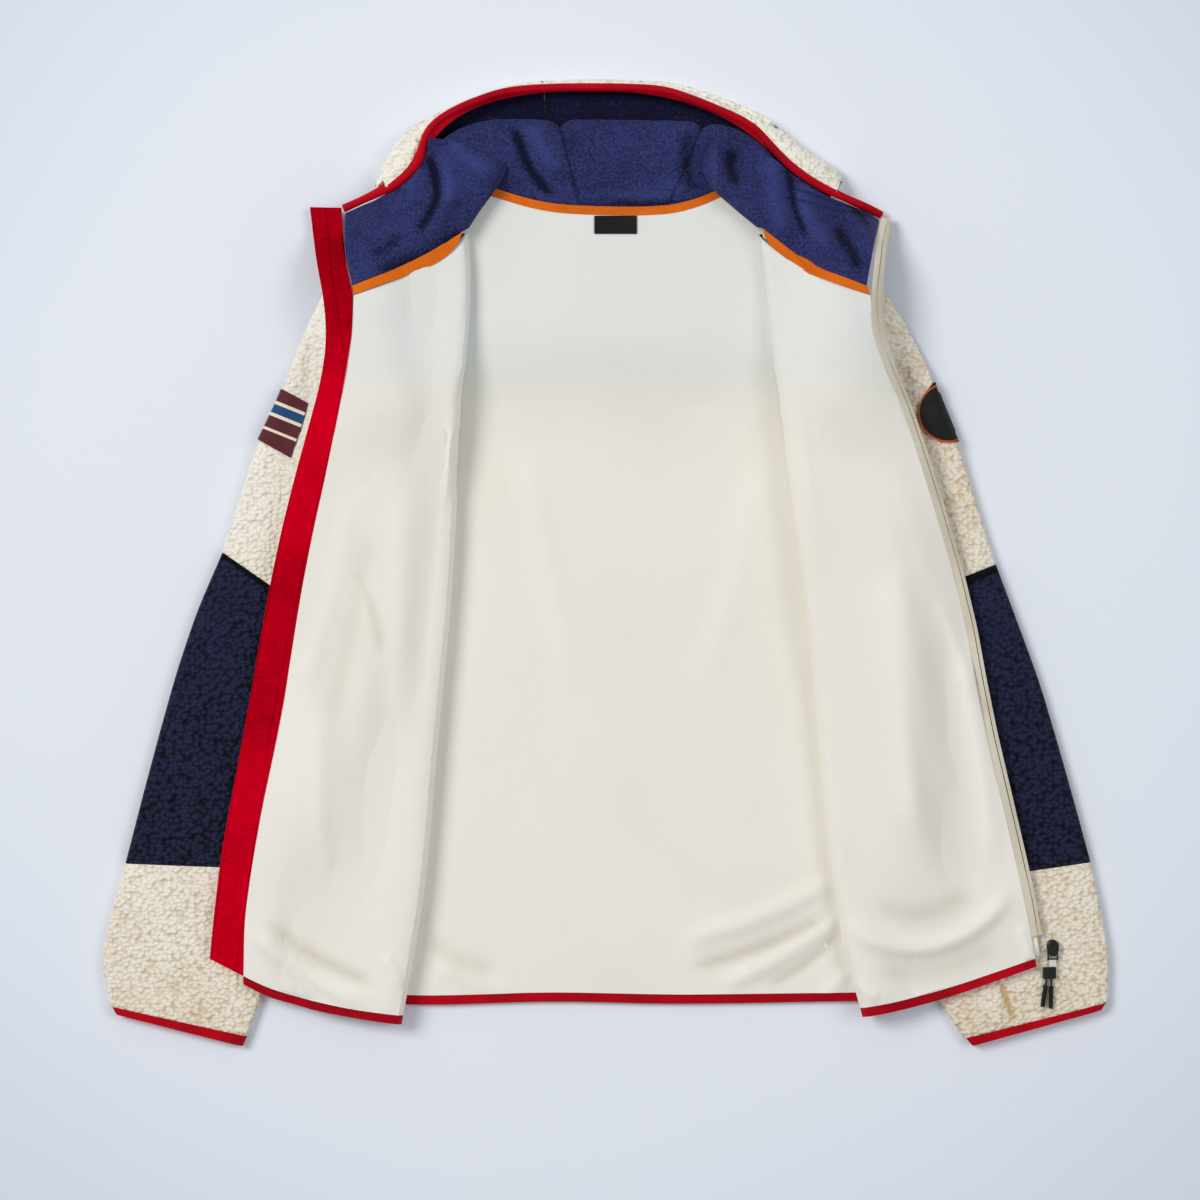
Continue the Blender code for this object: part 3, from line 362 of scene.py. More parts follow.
# the jersey lining is cooler above the yoke seam, where the navy pile shows through
yokeSeam = {"low": 0.135, "high": 0.185}


def jerseyPaint(warm, cool, deep):
    def paint(start, place):
        shade = attribute(start, "shade")
        height = place.node("SeparateXYZ", {"Vector": place}, output=1)
        across = place.node("SeparateXYZ", {"Vector": place})
        lined = (height + (speckle(place, 14.0) - 0.5) * 0.02).within(yokeSeam["low"], yokeSeam["high"])
        knit = (across * 6300.0 + speckle(place, 90.0) * 3).sine()
        fine = speckle(place, 1100.0)
        soft = (speckle(place, 9.0) - 0.5) * 0.35 + (fine - 0.5) * 0.25
        # the deep colour is the painted shade of creases from the shade attribute, and the random mottling reaches it
        # too
        return {"Base_Color": (shade * 0.75 + soft + 0.12).within(0.0, 1.0).mix(lined.mix(warm, cool), deep),
                "Normal": (knit * 0.4 + fine).bump(0.0002, 0.5)}
    return paint


# the placket: cross ribs, with a darker sewn line on each side of its middle
placketSeam = {"inner": 0.0115, "outer": 0.0127, "soft": 0.0008, "tone": 0.2}


def ribbedPaint(light, dark, pitch, relief, fleck=0.25):
    def paint(start, place):
        along, across = attribute(start, "along"), attribute(start, "across")
        shade = attribute(start, "shade")
        wrinkled = place.node("CombineXYZ", {"X": along * (1 / pitch), "Y": across * (0.16 / pitch)})
        ribs = wrinkled.node("TexNoise", {"Vector": wrinkled, "Scale": 1.0, "Detail": 3.0, "Roughness": 0.55})
        fine = speckle(place, 900.0)
        seam = (across.size() - placketSeam["inner"]).within(0.0, placketSeam["soft"])
        seam = seam * (1.0 - (across.size() - placketSeam["outer"]).within(0.0, placketSeam["soft"]))
        tone = ((ribs - 0.5) * 0.5 + (speckle(place, 16.0) - 0.5) * 0.5 + (fine - 0.5) * fleck + 0.75 - shade
                - seam * placketSeam["tone"])
        return {"Base_Color": tone.within(0.0, 1.0).mix(dark, light),
                "Normal": (ribs + fine * 0.15).bump(relief, 0.9)}
    return paint


# bindings and tapes
def wovenPaint(light, dark, scale, relief):
    def paint(start, place):
        shade = attribute(start, "shade")
        parts = [place.node("SeparateXYZ", {"Vector": place}, output=k) for k in (0, 1)]
        weave = (parts[0] * scale).sine() * (parts[1] * scale).sine()
        fine = speckle(place, 1100.0)
        tone = ((speckle(place, 24.0) - 0.5) * 0.8 + weave * 0.12 + (fine - 0.5) * 0.3 + 0.6 - shade)
        return {"Base_Color": tone.within(0.0, 1.0).mix(dark, light), "Normal": (weave * 0.5 + fine).bump(relief, 0.7)}
    return paint


# the left patch: its ground, and stripes from one place across it to another, in metres
patchGround = linear(92, 34, 42)
stripes = [
    (-0.0125, -0.0095, linear(243, 230, 207)),
    (-0.0095, -0.0015, linear(26, 74, 122)),
    (-0.0015, 0.0015, linear(243, 230, 207)),
    (0.0125, 0.0150, linear(243, 230, 207)),
]


def stripedPaint(start, place):
    along = attribute(start, "along")
    fine = speckle(place, 1500.0)
    colour = patchGround
    for low, high, shade in stripes:
        colour = (along.over(low) * along.under(high)).mix(colour, shade)
    return {"Base_Color": colour, "Normal": ((along * 9000.0).sine() * 0.4 + fine).bump(0.0002, 0.6)}


# the right patch: a bare disc in a ring
patchRing = {"radius": 0.0262, "halfWidth": 0.0009}


def roundPaint(start, place):
    far = attribute(start, "along")
    fine = speckle(place, 1500.0)
    ring = (far - patchRing["radius"]).size().under(patchRing["halfWidth"])
    return {"Base_Color": ring.mix((fine * 0.6).mix(linear(14, 14, 16), linear(34, 34, 38)), linear(206, 84, 24)),
            "Normal": ((far * 5200.0).sine() * 0.5 + fine).bump(0.0003, 0.7)}


materials = {
    # each pile's second colour is the painted shade in its gaps
    "creamPile": fabric("creamPile", pilePaint(linear(255, 250, 236), linear(212, 180, 134), 0.0038, 0.30, 0.0020),
                        Roughness=1.0, Sheen_Weight=0.2, Sheen_Roughness=0.6, Specular_IOR_Level=0.1),
    "navyPile": fabric("navyPile", pilePaint(linear(37, 41, 72), linear(4, 5, 12), 0.0042, 0.72, 0.0060),
                       Roughness=0.9, Sheen_Weight=0.03, Sheen_Roughness=0.5, Specular_IOR_Level=0.2),
    "jersey": fabric("jersey", jerseyPaint(linear(249, 245, 235), linear(239, 241, 236), linear(206, 194, 172)),
                     Roughness=0.85, Sheen_Weight=0.05, Specular_IOR_Level=0.2),
    "fleece": fabric("fleece", weavePaint(linear(62, 69, 130), linear(15, 16, 42), 22.0, 480.0, 0.0012, 1.1),
                     Roughness=0.95, Sheen_Weight=0.08, Sheen_Roughness=0.45, Specular_IOR_Level=0.15),
    "redBinding": fabric("redBinding", wovenPaint(linear(212, 0, 30), linear(120, 0, 12), 7000.0, 0.0003),
                         Roughness=0.7, Specular_IOR_Level=0.1),
    "redThread": fabric("redThread", lambda start, place: {"Base_Color": speckle(place, 500.0).mix(
        linear(120, 0, 12), linear(196, 10, 34))}, Roughness=0.7, Specular_IOR_Level=0.1),
    "redRib": fabric("redRib", ribbedPaint(linear(222, 0, 34), linear(118, 0, 12), 0.0022, 0.0006),
                     Roughness=0.85, Specular_IOR_Level=0.0),
    "orangeTape": fabric("orangeTape", wovenPaint(linear(255, 126, 10), linear(196, 82, 0), 5200.0, 0.0004),
                         Roughness=0.6, Specular_IOR_Level=0.2),
    "creamTape": fabric("creamTape", wovenPaint(linear(238, 230, 212), linear(206, 194, 170), 6000.0, 0.0003),
                        Roughness=0.7, Specular_IOR_Level=0.2),
    "blackLabel": fabric("blackLabel", wovenPaint(linear(30, 29, 29), linear(8, 8, 8), 7000.0, 0.0003),
                         Roughness=0.55, Specular_IOR_Level=0.2),
    "stripedPatch": fabric("stripedPatch", stripedPaint, Roughness=0.6, Specular_IOR_Level=0.25),
    "roundPatch": fabric("roundPatch", roundPaint, Roughness=0.6, Specular_IOR_Level=0.25),
    "blackRubber": fabric("blackRubber", weavePaint(linear(22, 22, 23), linear(8, 8, 9), 60.0, 900.0, 0.0002),
                          Roughness=0.38, Specular_IOR_Level=0.45),
    "blackCord": fabric("blackCord", weavePaint(linear(24, 24, 25), linear(6, 6, 7), 60.0, 1200.0, 0.0004),
                        Roughness=0.6, Specular_IOR_Level=0.25),
    "whiteBand": fabric("whiteBand", weavePaint(linear(236, 234, 232), linear(198, 194, 190), 60.0, 900.0, 0.0002),
                        Roughness=0.5, Specular_IOR_Level=0.3),
}
print("materials made")


# the tufts' relief: how far they wander, the steepness of their domes, the patches where the pile is matted
# down, and the share that is left on the side that lies on the floor
tuftForm = {"wander": 1.5, "wanderSize": 7.0, "steepness": 2.2, "mattedSize": 24.0, "dips": 0.6, "matted": 0.4,
            "flattening": 1.4, "least": 0.12}


# how far each point of a pile surface sinks, and how deep it is between its tufts, which the paint turns into painted
# shade
def pileRelief(points, normals, depth, size):
    bend = np.stack([grain(points, tuftForm["wanderSize"], 11 + k) for k in range(3)], 1)
    near, second = tufts(points + tuftForm["wander"] * bend, size, 3)
    dome = np.sqrt(np.clip((second - near) * tuftForm["steepness"], 0, 1))
    matted = 0.5 + 0.5 * grain(points, tuftForm["mattedSize"], 5)
    dip = np.clip(1 - dome, 0, 1)
    flat = np.clip(1 + tuftForm["flattening"] * np.minimum(normals[:, 2], 0), tuftForm["least"], 1)
    return -(depth * (tuftForm["dips"] * dip + tuftForm["matted"] * matted)) * flat, dip


# 0 on a sharp edge, rising to 1 where the surface is at least reach away from it
def seamShare(points, triangles, reach):
    edges, sharp = sharpEdges(points, triangles, seamCosine)
    rim = np.zeros(len(points), bool)
    rim[edges[sharp].reshape(-1)] = True
    share = np.where(rim, 0.0, 1.0)
    a, b = edges.T
    length = np.linalg.norm(points[a] - points[b], axis=1) / reach
    for _ in range(6):
        lower = np.minimum(share[a], share[b]) + length
        for ends in (a, b):
            np.minimum.at(share, ends, lower)
    return share


# the hood's brim, from its left end to its right
brimLine = spots([(343.5, 207.5), (360, 201), (393, 187.5), (415.5, 171), (424.5, 155), (423, 142), (433, 124),
                  (455.5, 110), (476.5, 101), (509, 91), (559, 87.5), (620, 87.5), (662, 90), (688, 97.5), (721, 111),
                  (751, 125), (769, 144), (789, 167.5), (812, 183), (840, 196.5), (865.5, 205), (882, 213)])


# a mesh in millimetres as a piece of the jacket, with its values for the paint
def addObject(name, points, triangles, cloth, values, sharp=None):
    data = bpy.data.meshes.new(name)
    data.from_pydata((points / metre).tolist(), [], triangles.tolist())
    data.shade_smooth()
    if sharp:
        data.set_sharp_from_angle(angle=math.radians(sharp))
    for key, amount in values:
        data.attributes.new(key, "FLOAT", "POINT").data.foreach_set("value", np.asarray(amount, np.float32))
    data.materials.append(materials[cloth])
    made = bpy.data.objects.new(name, data)
    bpy.context.scene.collection.objects.link(made)
    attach(made, "jacket")
    return made


# how near a seam the pile rises to it, how high it stands there and above its solid, and how fast creases set in;
# the hood's opening lies above mouthY, and what is over leafZ in it is the leaf on top
shaping = {"seamReach": 4.0, "seamHeight": 0.35, "stand": 0.4, "onset": 4, "mouthY": 300, "shadowY": 330,
           "leafZ": 17}
# painted shade along the hood's own seams, deeper on the lower leaf in its mouth, and painted shade in the groove
# along the navy band's ragged upper edge
seamShade = {"all": 0.2, "lower": 0.8, "narrowness": 1.3}
bandEdgeShade = {"tone": 1.2, "width": 9.0, "soft": 2.0}


# A cloth piece over its CAD node. Its settings, where given:
#   cell, under: longest edges on top and below      steps: how much its facets are smoothed
#   folds, above: creases, and the height over which they count      inBrim: it ends at the brim
#   shadow: low, high and darkness of the painted shadow in the hood's mouth      heightShade: painted shade at pixel heights
#   pile, tuft, inset: pile depth, its tufts' size, and how far its upper side sinks under a lining
#   swell, raised: growth along the normals, and straight up      band: the navy band's upper edge
#   guide, centre and turn: what "along" and "across" are measured from
#   inside: the cloth of its upper side, and how far that faces up
def makePiece(name, settings):
    points, triangles = nodeMesh(settings["node"])
    points = points * metre
    points, triangles = refined(points, triangles, settings.get("cell", 4.0), settings.get("under", 9.0))
    points = smoothed(points, triangles, settings.get("steps", 30))
    fromSeam = seamShare(points, triangles, shaping["seamReach"])
    lowest = min(points[:, 2].min(), floorGap)
    dip, shade = np.zeros(len(points)), np.zeros(len(points))
    if settings.get("inBrim"):
        x, y, _ = points.T
        _, _, side, footX, footY = lineDistance(x, y, brimLine)
        outside = (side > 0) & (y > shaping["mouthY"])
        points[outside, 0], points[outside, 1] = footX[outside], footY[outside]
    normals = vertexNormals(points, triangles)
    # creases lift the surface and give painted shade in troughs and a painted highlight on ridges
    if "folds" in settings:
        x, y, z = points.T
        lift, shade = foldLift(x, y, settings["folds"])
        points[:, 2] += lift * np.clip((z - settings.get("above", 0)) / shaping["onset"], 0, 1)
    if "shadow" in settings:
        low, high, amount = settings["shadow"]
        depth = np.clip((high - points[:, 2]) / (high - low), 0, 1)
        shade = shade + amount * depth * (points[:, 1] > shaping["shadowY"])
    # painted shade along the hood's seams
    if settings.get("inBrim"):
        tone = seamShade["all"] + seamShade["lower"] * (points[:, 2] < shaping["leafZ"])
        shade = shade + tone * np.clip(1 - seamShade["narrowness"] * fromSeam, 0, 1)
    # painted shade by height; negative values are painted lighter
    if "heightShade" in settings:
        heights, heightShade = np.array(settings["heightShade"]).T
        shade = shade + np.interp(-points[:, 1], (heights - photo["y"]) * photo["mm"], heightShade)
    if "pile" in settings:
        offset, dip = pileRelief(points, normals, settings["pile"], settings.get("tuft", 5.0))
        edge = np.clip(fromSeam, 0, 1)
        offset = (offset + settings["pile"] * shaping["stand"]) * edge + shaping["seamHeight"] * (1 - edge)
        if "inset" in settings:
            offset = np.where(normals[:, 2] > -0.3, -settings["inset"], offset)
        points = points + normals * offset[:, None]
    else:
        points = points + normals * settings.get("swell", 0.16)
    points[:, 2] += settings.get("raised", 0)
    points[:, 2] = np.maximum(points[:, 2], lowest)
    # painted shade in the groove along the navy band's upper edge, ragged
    if "band" in settings:
        far, *_ = lineDistance(points[:, 0], points[:, 1], spots(settings["band"]))
        ragged = far + 2.0 * grain(points, 5.0, 21) + 1.0 * grain(points, 2.6, 23)
        shade = shade + bandEdgeShade["tone"] * np.clip((bandEdgeShade["width"] - ragged) / bandEdgeShade["soft"], 0, 1)
    values = [("dip", dip), ("shade", shade)]
    if "guide" in settings:
        guide = spots(settings["guide"])
        far, share, side, *_ = lineDistance(points[:, 0], points[:, 1], guide)
        length = np.hypot(*np.diff(np.array(guide), axis=0).T).sum()
        values += [("along", share * length / metre), ("across", far * side / metre)]
    if "centre" in settings:
        away = points[:, :2] - np.array(spots([settings["centre"]])[0])
        if "turn" in settings:
            turn = math.radians(settings["turn"])
            values += [("along", away @ np.array([math.cos(turn), math.sin(turn)]) / metre)]
        else:
            values += [("along", np.hypot(*away.T) / metre)]
    made = addObject(name, points, triangles, settings["cloth"], values, None if "pile" in settings else 48)
    if "inside" in settings:
        inner, reach = settings["inside"]
        made.data.materials.append(materials[inner])
        turned = unit(faceNormals(points, triangles))[:, 2] > reach
        if inner == "fleece" and "lapel" not in settings["node"]:
            x, y, _ = points[triangles].mean(axis=1).T
            _, _, side, *_ = lineDistance(x, y, brimLine)
            turned &= (side < 0) | (y < shaping["mouthY"])
        made.data.polygons.foreach_set("material_index", turned.astype(np.int32))
    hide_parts(settings["node"])
    return made


# creases: half width and height in millimetres, then their line in the photo's pixels
# troughs also get painted shade, ridges a painted highlight
hoodFolds = [
    (4.0, -2.4, (512, 124), (520, 144), (526, 164), (540, 184), (556, 200)),
    (8.0, 5.0, (530, 122), (540, 146), (562, 176)),
    (4.0, 2.5, (572, 196), (630, 198), (692, 195)),
    (1.6, -1.6, (606, 203), (645, 205), (684, 202)),
    (5.0, -1.2, (689, 128), (683, 160), (695, 198)),
    (6.0, 2.0, (663, 176), (676, 188), (684, 197)),
]
leftLapelFolds = [
    (3.6, -3.0, (474, 128), (482, 143), (492, 152), (502, 157), (509, 161)),
    (9.0, 9.0, (446, 112), (454, 146), (474, 168), (504, 178)),
    (7.0, 6.0, (484, 118), (496, 134), (508, 148)),
    (3.4, -2.8, (427, 152), (434, 170), (438, 189), (438, 203), (430, 219), (418, 238)),
    (8.0, 7.0, (438, 146), (449, 172), (453, 196), (442, 222), (424, 248)),
    (10.0, 4.0, (404, 196), (418, 186), (424, 168)),
    (7.0, 2.5, (360, 222), (392, 214), (418, 200)),
    (7.0, -1.6, (372, 278), (413, 265), (448, 247), (467, 226)),
    (5.0, -1.0, (404, 236), (390, 250), (372, 258)),
]
rightLapelFolds = [
    (3.0, -1.8, (782, 158), (788, 176), (791, 200), (797, 222), (808, 244)),
    (5.0, -1.6, (832, 226), (848, 250), (858, 276)),
    (9.0, 7.0, (766, 156), (774, 190), (776, 214), (786, 242)),
    (8.0, 6.0, (800, 180), (804, 206), (812, 230), (832, 256)),
    (5.0, 3.0, (828, 196), (848, 208), (864, 222), (872, 236)),
    (3.0, -2.0, (836, 192), (858, 212), (872, 230)),
    (8.0, 6.0, (722, 146), (716, 166), (722, 190), (744, 212)),
    (4.0, -2.0, (733, 150), (728, 168), (736, 190)),
]
leftFolds = [
    (9.0, 1.6, (356, 490), (338, 580), (304, 700)),
    (10.0, -1.0, (374, 520), (356, 620), (330, 740)),
    (8.0, 1.8, (322, 700), (318, 800), (334, 900)),
    (8.0, 4.5, (246, 925), (285, 962), (330, 990), (378, 1006)),
    (7.0, -2.0, (262, 918), (300, 950), (350, 974), (384, 986)),
    (4.0, 2.5, (385, 952), (394, 968), (404, 986)),
    (11.0, 2.0, (400, 480), (404, 600), (398, 740)),
    (6.0, -1.5, (352, 560), (372, 600), (386, 660)),
]
rightFolds = [
    (18.0, -0.7, (922, 620), (938, 740), (952, 860), (958, 900)),
    (14.0, 4.5, (888, 560), (902, 700), (914, 850)),
    (10.0, 4.0, (964, 640), (980, 760), (996, 870)),
    (8.0, 6.0, (842, 915), (866, 938), (905, 950), (948, 944), (990, 918), (1016, 884)),
    (10.0, -1.5, (868, 900), (905, 916), (945, 908), (980, 886)),
    (10.0, -1.5, (866, 966), (908, 976), (960, 966), (1006, 940)),
    (4.0, 2.5, (1018, 925), (1026, 940), (1030, 962)),
    (4.0, 2.5, (850, 978), (862, 990), (880, 998)),
    (6.0, 1.8, (936, 596), (956, 640), (972, 704)),
    (5.0, 1.5, (782, 330), (800, 420), (812, 520)),
]
backFolds = [
    (9.0, 4.5, (676, 944), (736, 928), (790, 906), (840, 878)),
    (7.0, -2.4, (680, 972), (740, 956), (796, 934), (842, 908)),
    (8.0, 4.5, (716, 990), (770, 966), (812, 940), (846, 912)),
    (5.0, -2.2, (764, 990), (808, 966), (844, 930)),
    (5.0, 2.0, (820, 1002), (836, 986), (850, 972)),
    (14.0, 2.5, (520, 430), (545, 560), (580, 700)),
    (14.0, 2.0, (760, 450), (742, 560), (700, 700)),
    (10.0, 2.5, (434, 960), (470, 985), (520, 994)),
    (9.0, -1.2, (420, 936), (452, 962), (500, 976)),
]
# upper edges of the navy bands, and darkness at heights of the photo
leftBand = [(214, 549), (226, 552), (240, 560), (256, 571), (274, 587)]
rightBand = [(964, 577), (980, 571), (998, 562)]
# painted shade by height: the lower sleeves and the whole right sleeve darker as the light falls, the navy band's top
# painted lighter
sleeveShade = [(330, -0.05), (560, 0.05), (860, 0.14), (1040, 0.3)]
rightSleeveShade = [(330, 0.3), (560, 0.28), (860, 0.24), (1040, 0.34)]
bandShade = [(560, -0.15), (700, 0.0), (880, 0.12)]
creamSleeve = {"cloth": "creamPile", "cell": 2.8, "pile": 1.3, "tuft": 7.5}
navySleeve = {"cloth": "navyPile", "cell": 3.3, "pile": 1.6, "tuft": 8.0, "heightShade": bandShade}
hoodShell = {"inside": ("fleece", 0.2), "cloth": "creamPile", "cell": 4.8, "pile": 1.2, "inset": 0.5}
lapelShell = {**hoodShell, "cell": 4.4, "inset": 0.8}
frontShell = {"inside": ("jersey", 0.3), "cloth": "creamPile", "cell": 9.5, "steps": 6, "pile": 1.2, "inset": 0.8}
backShell = {**frontShell, "cell": 11.0}
yokeShell = {**frontShell, "inside": ("jersey", -0.4), "cloth": "navyPile", "cell": 8.0, "inset": 0.7}
frontJersey = {"cloth": "jersey", "cell": 4.0, "under": 10.0, "above": 12}
hoodFleece = {"cloth": "fleece", "cell": 3.4, "under": 8.0, "inBrim": True, "folds": hoodFolds, "above": 16,
              "shadow": (12, 19, 0.42), "swell": 0.4}
lapelFleece = {"cloth": "fleece", "cell": 2.4, "under": 3.0}
cuffFolds = [
    (2.4, -3.0, (1002, 980), (1008, 1003), (1016, 1024)),
    (7.0, 2.5, (990, 985), (996, 1005), (1004, 1028)),
]
pieces = {
    "sleeveLeftTop": {**creamSleeve, "node": "sleeve_left_upper", "heightShade": sleeveShade},
    "sleeveLeftBand": {**navySleeve, "node": "sleeve_left_middle", "band": leftBand},
    "sleeveLeftEnd": {**creamSleeve, "node": "sleeve_left_lower", "heightShade": sleeveShade},
    "sleeveRightTop": {**creamSleeve, "node": "sleeve_right_upper", "heightShade": rightSleeveShade},
    "sleeveRightBand": {**navySleeve, "node": "sleeve_right_middle", "band": rightBand},
    "sleeveRightEnd": {**creamSleeve, "node": "sleeve_right_lower", "heightShade": rightSleeveShade, "folds": cuffFolds},
    "hoodLeftPile": {**hoodShell, "node": "hood_left_shell"},
    "hoodCentrePile": {**hoodShell, "node": "hood_centre_shell"},
    "hoodRightPile": {**hoodShell, "node": "hood_right_shell"},
    "lapelLeftPile": {**lapelShell, "node": "hood_left_lapel_shell", "folds": leftLapelFolds},
    "lapelRightPile": {**lapelShell, "node": "hood_right_lapel_shell", "folds": rightLapelFolds},
    "frontLeftPile": {**frontShell, "node": "front_left_shell"},
    "frontRightPile": {**frontShell, "node": "front_right_shell"},
    "yokeLeftPile": {**yokeShell, "node": "front_left_yoke_shell"},
    "yokeRightPile": {**yokeShell, "node": "front_right_yoke_shell"},
    "backPile": {**backShell, "node": "back_shell"},
    "backYokePile": {**backShell, "node": "back_yoke_shell", "cloth": "navyPile"},
    "backLining": {"node": "back_lining", "cloth": "jersey", "cell": 5.2, "under": 12.0, "folds": backFolds},
    "frontLeftLining": {**frontJersey, "node": "front_left_lining", "folds": leftFolds},
    "frontRightLining": {**frontJersey, "node": "front_right_lining", "folds": rightFolds},
    "hoodLeftLining": {**hoodFleece, "node": "hood_left_lining"},
    "hoodCentreLining": {**hoodFleece, "node": "hood_centre_lining"},
    "hoodRightLining": {**hoodFleece, "node": "hood_right_lining"},
    "lapelLeftLining": {**lapelFleece, "node": "hood_left_lapel_lining", "folds": leftLapelFolds},
    "lapelRightLining": {**lapelFleece, "node": "hood_right_lapel_lining", "folds": rightLapelFolds},
    # the placket's heightShade is painted shade along its length
    "placketCloth": {"node": "placket", "cloth": "redRib", "cell": 2.4,
                     "heightShade": [(207, 0.3), (250, 0.45), (330, 0.35), (385, 0.0), (540, 0.05), (600, 0.3), (700, 0.25),
                               (780, 0.05), (968, 0.1)],
                     "guide": [(310, 207), (322, 290), (334, 360), (320, 440), (298, 530), (255, 740), (222, 968)]},
    "brimCloth": {"node": "brim_binding", "cloth": "redBinding", "cell": 2.2, "swell": -0.3},
    "hemLeftCloth": {"node": "hem_binding_left", "cloth": "redBinding", "cell": 2.2},
    "hemRightCloth": {"node": "hem_binding_right", "cloth": "redBinding", "cell": 2.2},
    "hemBackCloth": {"node": "hem_binding_back", "cloth": "redBinding", "cell": 3.2},
    "cuffLeftCloth": {"node": "sleeve_left_cuff_binding", "cloth": "redBinding", "cell": 2.0},
    "cuffRightCloth": {"node": "sleeve_right_cuff_binding", "cloth": "redBinding", "cell": 2.0},
    "zipTapeCloth": {"node": "zip_tape", "cloth": "creamTape", "cell": 2.2},
    "zipChainCloth": {"node": "zip_chain", "cloth": "creamTape", "cell": 2.2},
    "neckTapeBackCloth": {"node": "neck_tape_back", "cloth": "orangeTape", "cell": 2.0},
    "neckTapeLeftCloth": {"node": "neck_tape_left", "cloth": "orangeTape", "cell": 2.0, "raised": 0.9},
    "neckTapeRightCloth": {"node": "neck_tape_right", "cloth": "orangeTape", "cell": 2.0, "raised": 0.9},
    "patchLeftCloth": {"node": "patch_left", "cloth": "stripedPatch", "cell": 1.6, "centre": (290, 421), "turn": -112},
    "patchRightCloth": {"node": "patch_right", "cloth": "roundPatch", "cell": 1.6, "centre": (948, 412)},
    "labelCloth": {"node": "neck_label", "cloth": "blackLabel", "cell": 1.6, "steps": 0},
}
made = {}
for name, settings in pieces.items():
    made[name] = makePiece(name, settings)
    print(name, len(made[name].data.polygons))


# points at even steps along a line
def walk(line, step):
    points = np.array(line, float)
    spans = np.linalg.norm(np.diff(points, axis=0), axis=1)
    at = np.concatenate([[0], np.cumsum(spans)])
    places = np.arange(0, at[-1], step)
    return np.stack([np.interp(places, at, points[:, k]) for k in range(points.shape[1])], 1)


# The pile edge that stands out behind the brim. Its profile runs from the brim to the outline, over the top and
# back below: the share of the width, how far it bulges, and the share of the brim's height.
hoodEdge = {
    "outline": [
        (389, 184), (381, 177), (379, 168), (386, 155), (397, 138), (412, 124), (431, 115.5), (445, 110), (452, 104.5),
        (461, 101), (473, 98), (482, 91), (498, 86), (515, 81.5), (530, 82), (560, 78), (600, 76), (640, 78.5),
        (680, 84), (715, 96), (740, 106), (753, 112), (766, 115), (777, 123), (787, 131), (797, 140), (813, 151.5),
        (830, 161), (841, 169), (843, 178), (838, 188)],
    "profile": [
        (-0.06, -2.5, 1), (0.04, 0.6, 1), (0.2, 2.2, 1), (0.4, 2.6, 0.97), (0.6, 2.4, 0.9), (0.78, 2.0, 0.78),
        (0.92, 1.0, 0.58), (1.0, 0.0, 0.36), (1.02, 0, 0.16), (0.98, 0, 0.05), (0.9, 0, 0.02), (0.6, 0, 0.02),
        (0.3, 0, 0.1), (0.05, 0, 0.4)],
    "step": 2.2, "fullWidth": 10, "lift": 0.4, "cell": 2.4, "under": 5.0, "steps": 4, "pile": 1.6, "tuft": 7.5,
    "stand": 1.0, "brimPoints": 16, "levelling": 12,
}


# the brim's height beside each of the places, levelled along the brim
def brimHeights(places):
    brim, _ = nodeMesh("brim_binding")
    brim = brim * metre
    heights = np.array([
        brim[np.argsort(np.hypot(*(brim[:, :2] - place).T))[:hoodEdge["brimPoints"]], 2].mean() for place in places])
    for _ in range(hoodEdge["levelling"]):
        heights[1:-1] = (heights[:-2] + heights[1:-1] + heights[2:]) / 3
    return heights


# the triangles of a closed tube of rows, each with count points
def tubeFaces(rows, count):
    faces = []
    for i in range(rows - 1):
        for j in range(count):
            a, b = i * count + j, i * count + (j + 1) % count
            faces += [(a, b, b + count), (a, b + count, a + count)]
    faces += [(0, j + 1, j) for j in range(1, count - 1)]
    last = (rows - 1) * count
    faces += [(last, last + j, last + j + 1) for j in range(1, count - 1)]
    return np.array(faces)[:, ::-1]


def buildHoodEdge():
    outer = walk(rounded(spots(hoodEdge["outline"]), 1), hoodEdge["step"])
    _, _, _, footX, footY = lineDistance(outer[:, 0], outer[:, 1], brimLine)
    inner = np.stack([footX, footY], 1)
    points = []
    for place, foot, height in zip(outer, inner, brimHeights(inner)):
        fullness = min(1, np.hypot(*(place - foot)) / hoodEdge["fullWidth"])
        for across, bulge, share in hoodEdge["profile"]:
            x, y = foot + (place - foot) * across
            points.append((x, y, height * share + bulge * fullness + hoodEdge["lift"]))
    points = np.array(points)
    triangles = tubeFaces(len(outer), len(hoodEdge["profile"]))
    if vertexNormals(points, triangles)[2, 2] < 0:
        triangles = triangles[:, ::-1]
    points, triangles = refined(points, triangles, hoodEdge["cell"], hoodEdge["under"])
    points = smoothed(points, triangles, hoodEdge["steps"])
    normals = vertexNormals(points, triangles)
    offset, dip = pileRelief(points, normals, hoodEdge["pile"], hoodEdge["tuft"])
    points = points + normals * (offset + hoodEdge["stand"])[:, None]
    points[:, 2] = np.maximum(points[:, 2], floorGap)
    edge = addObject("hoodEdgePile", points, triangles, "creamPile", [("dip", dip), ("shade", 0 * dip)])
    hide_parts("hood_left_shell", "hood_centre_shell", "hood_right_shell")
    return edge


# a function that gives the place and normal of a piece's top under x and y
def surfaceOf(name):
    data = made[name].data
    tree = BVHTree.FromPolygons([v.co[:] for v in data.vertices], [p.vertices[:] for p in data.polygons])

    def spot(x, y):
        place, normal, *_ = tree.ray_cast(Vector((x / metre, y / metre, 0.2)), Vector((0, 0, -1)))
        return place, normal
    return spot


# a bmesh, in metres, as a piece of the jacket
def finishMesh(name, form, cloth):
    data = bpy.data.meshes.new(name)
    form.to_mesh(data)
    form.free()
    data.materials.append(materials[cloth])
    piece = bpy.data.objects.new(name, data)
    bpy.context.scene.collection.objects.link(piece)
    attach(piece, "jacket")
    return piece


# the matrix that puts a unit shape at a place, along run and upright on normal
def turnedTo(place, run, normal, size):
    along = run.normalized()
    across = normal.cross(along).normalized()
    upward = along.cross(across)
    turn = Matrix((along, across, upward)).transposed().to_4x4()
    return Matrix.Translation(place) @ turn @ Matrix.Diagonal((*size, 1))


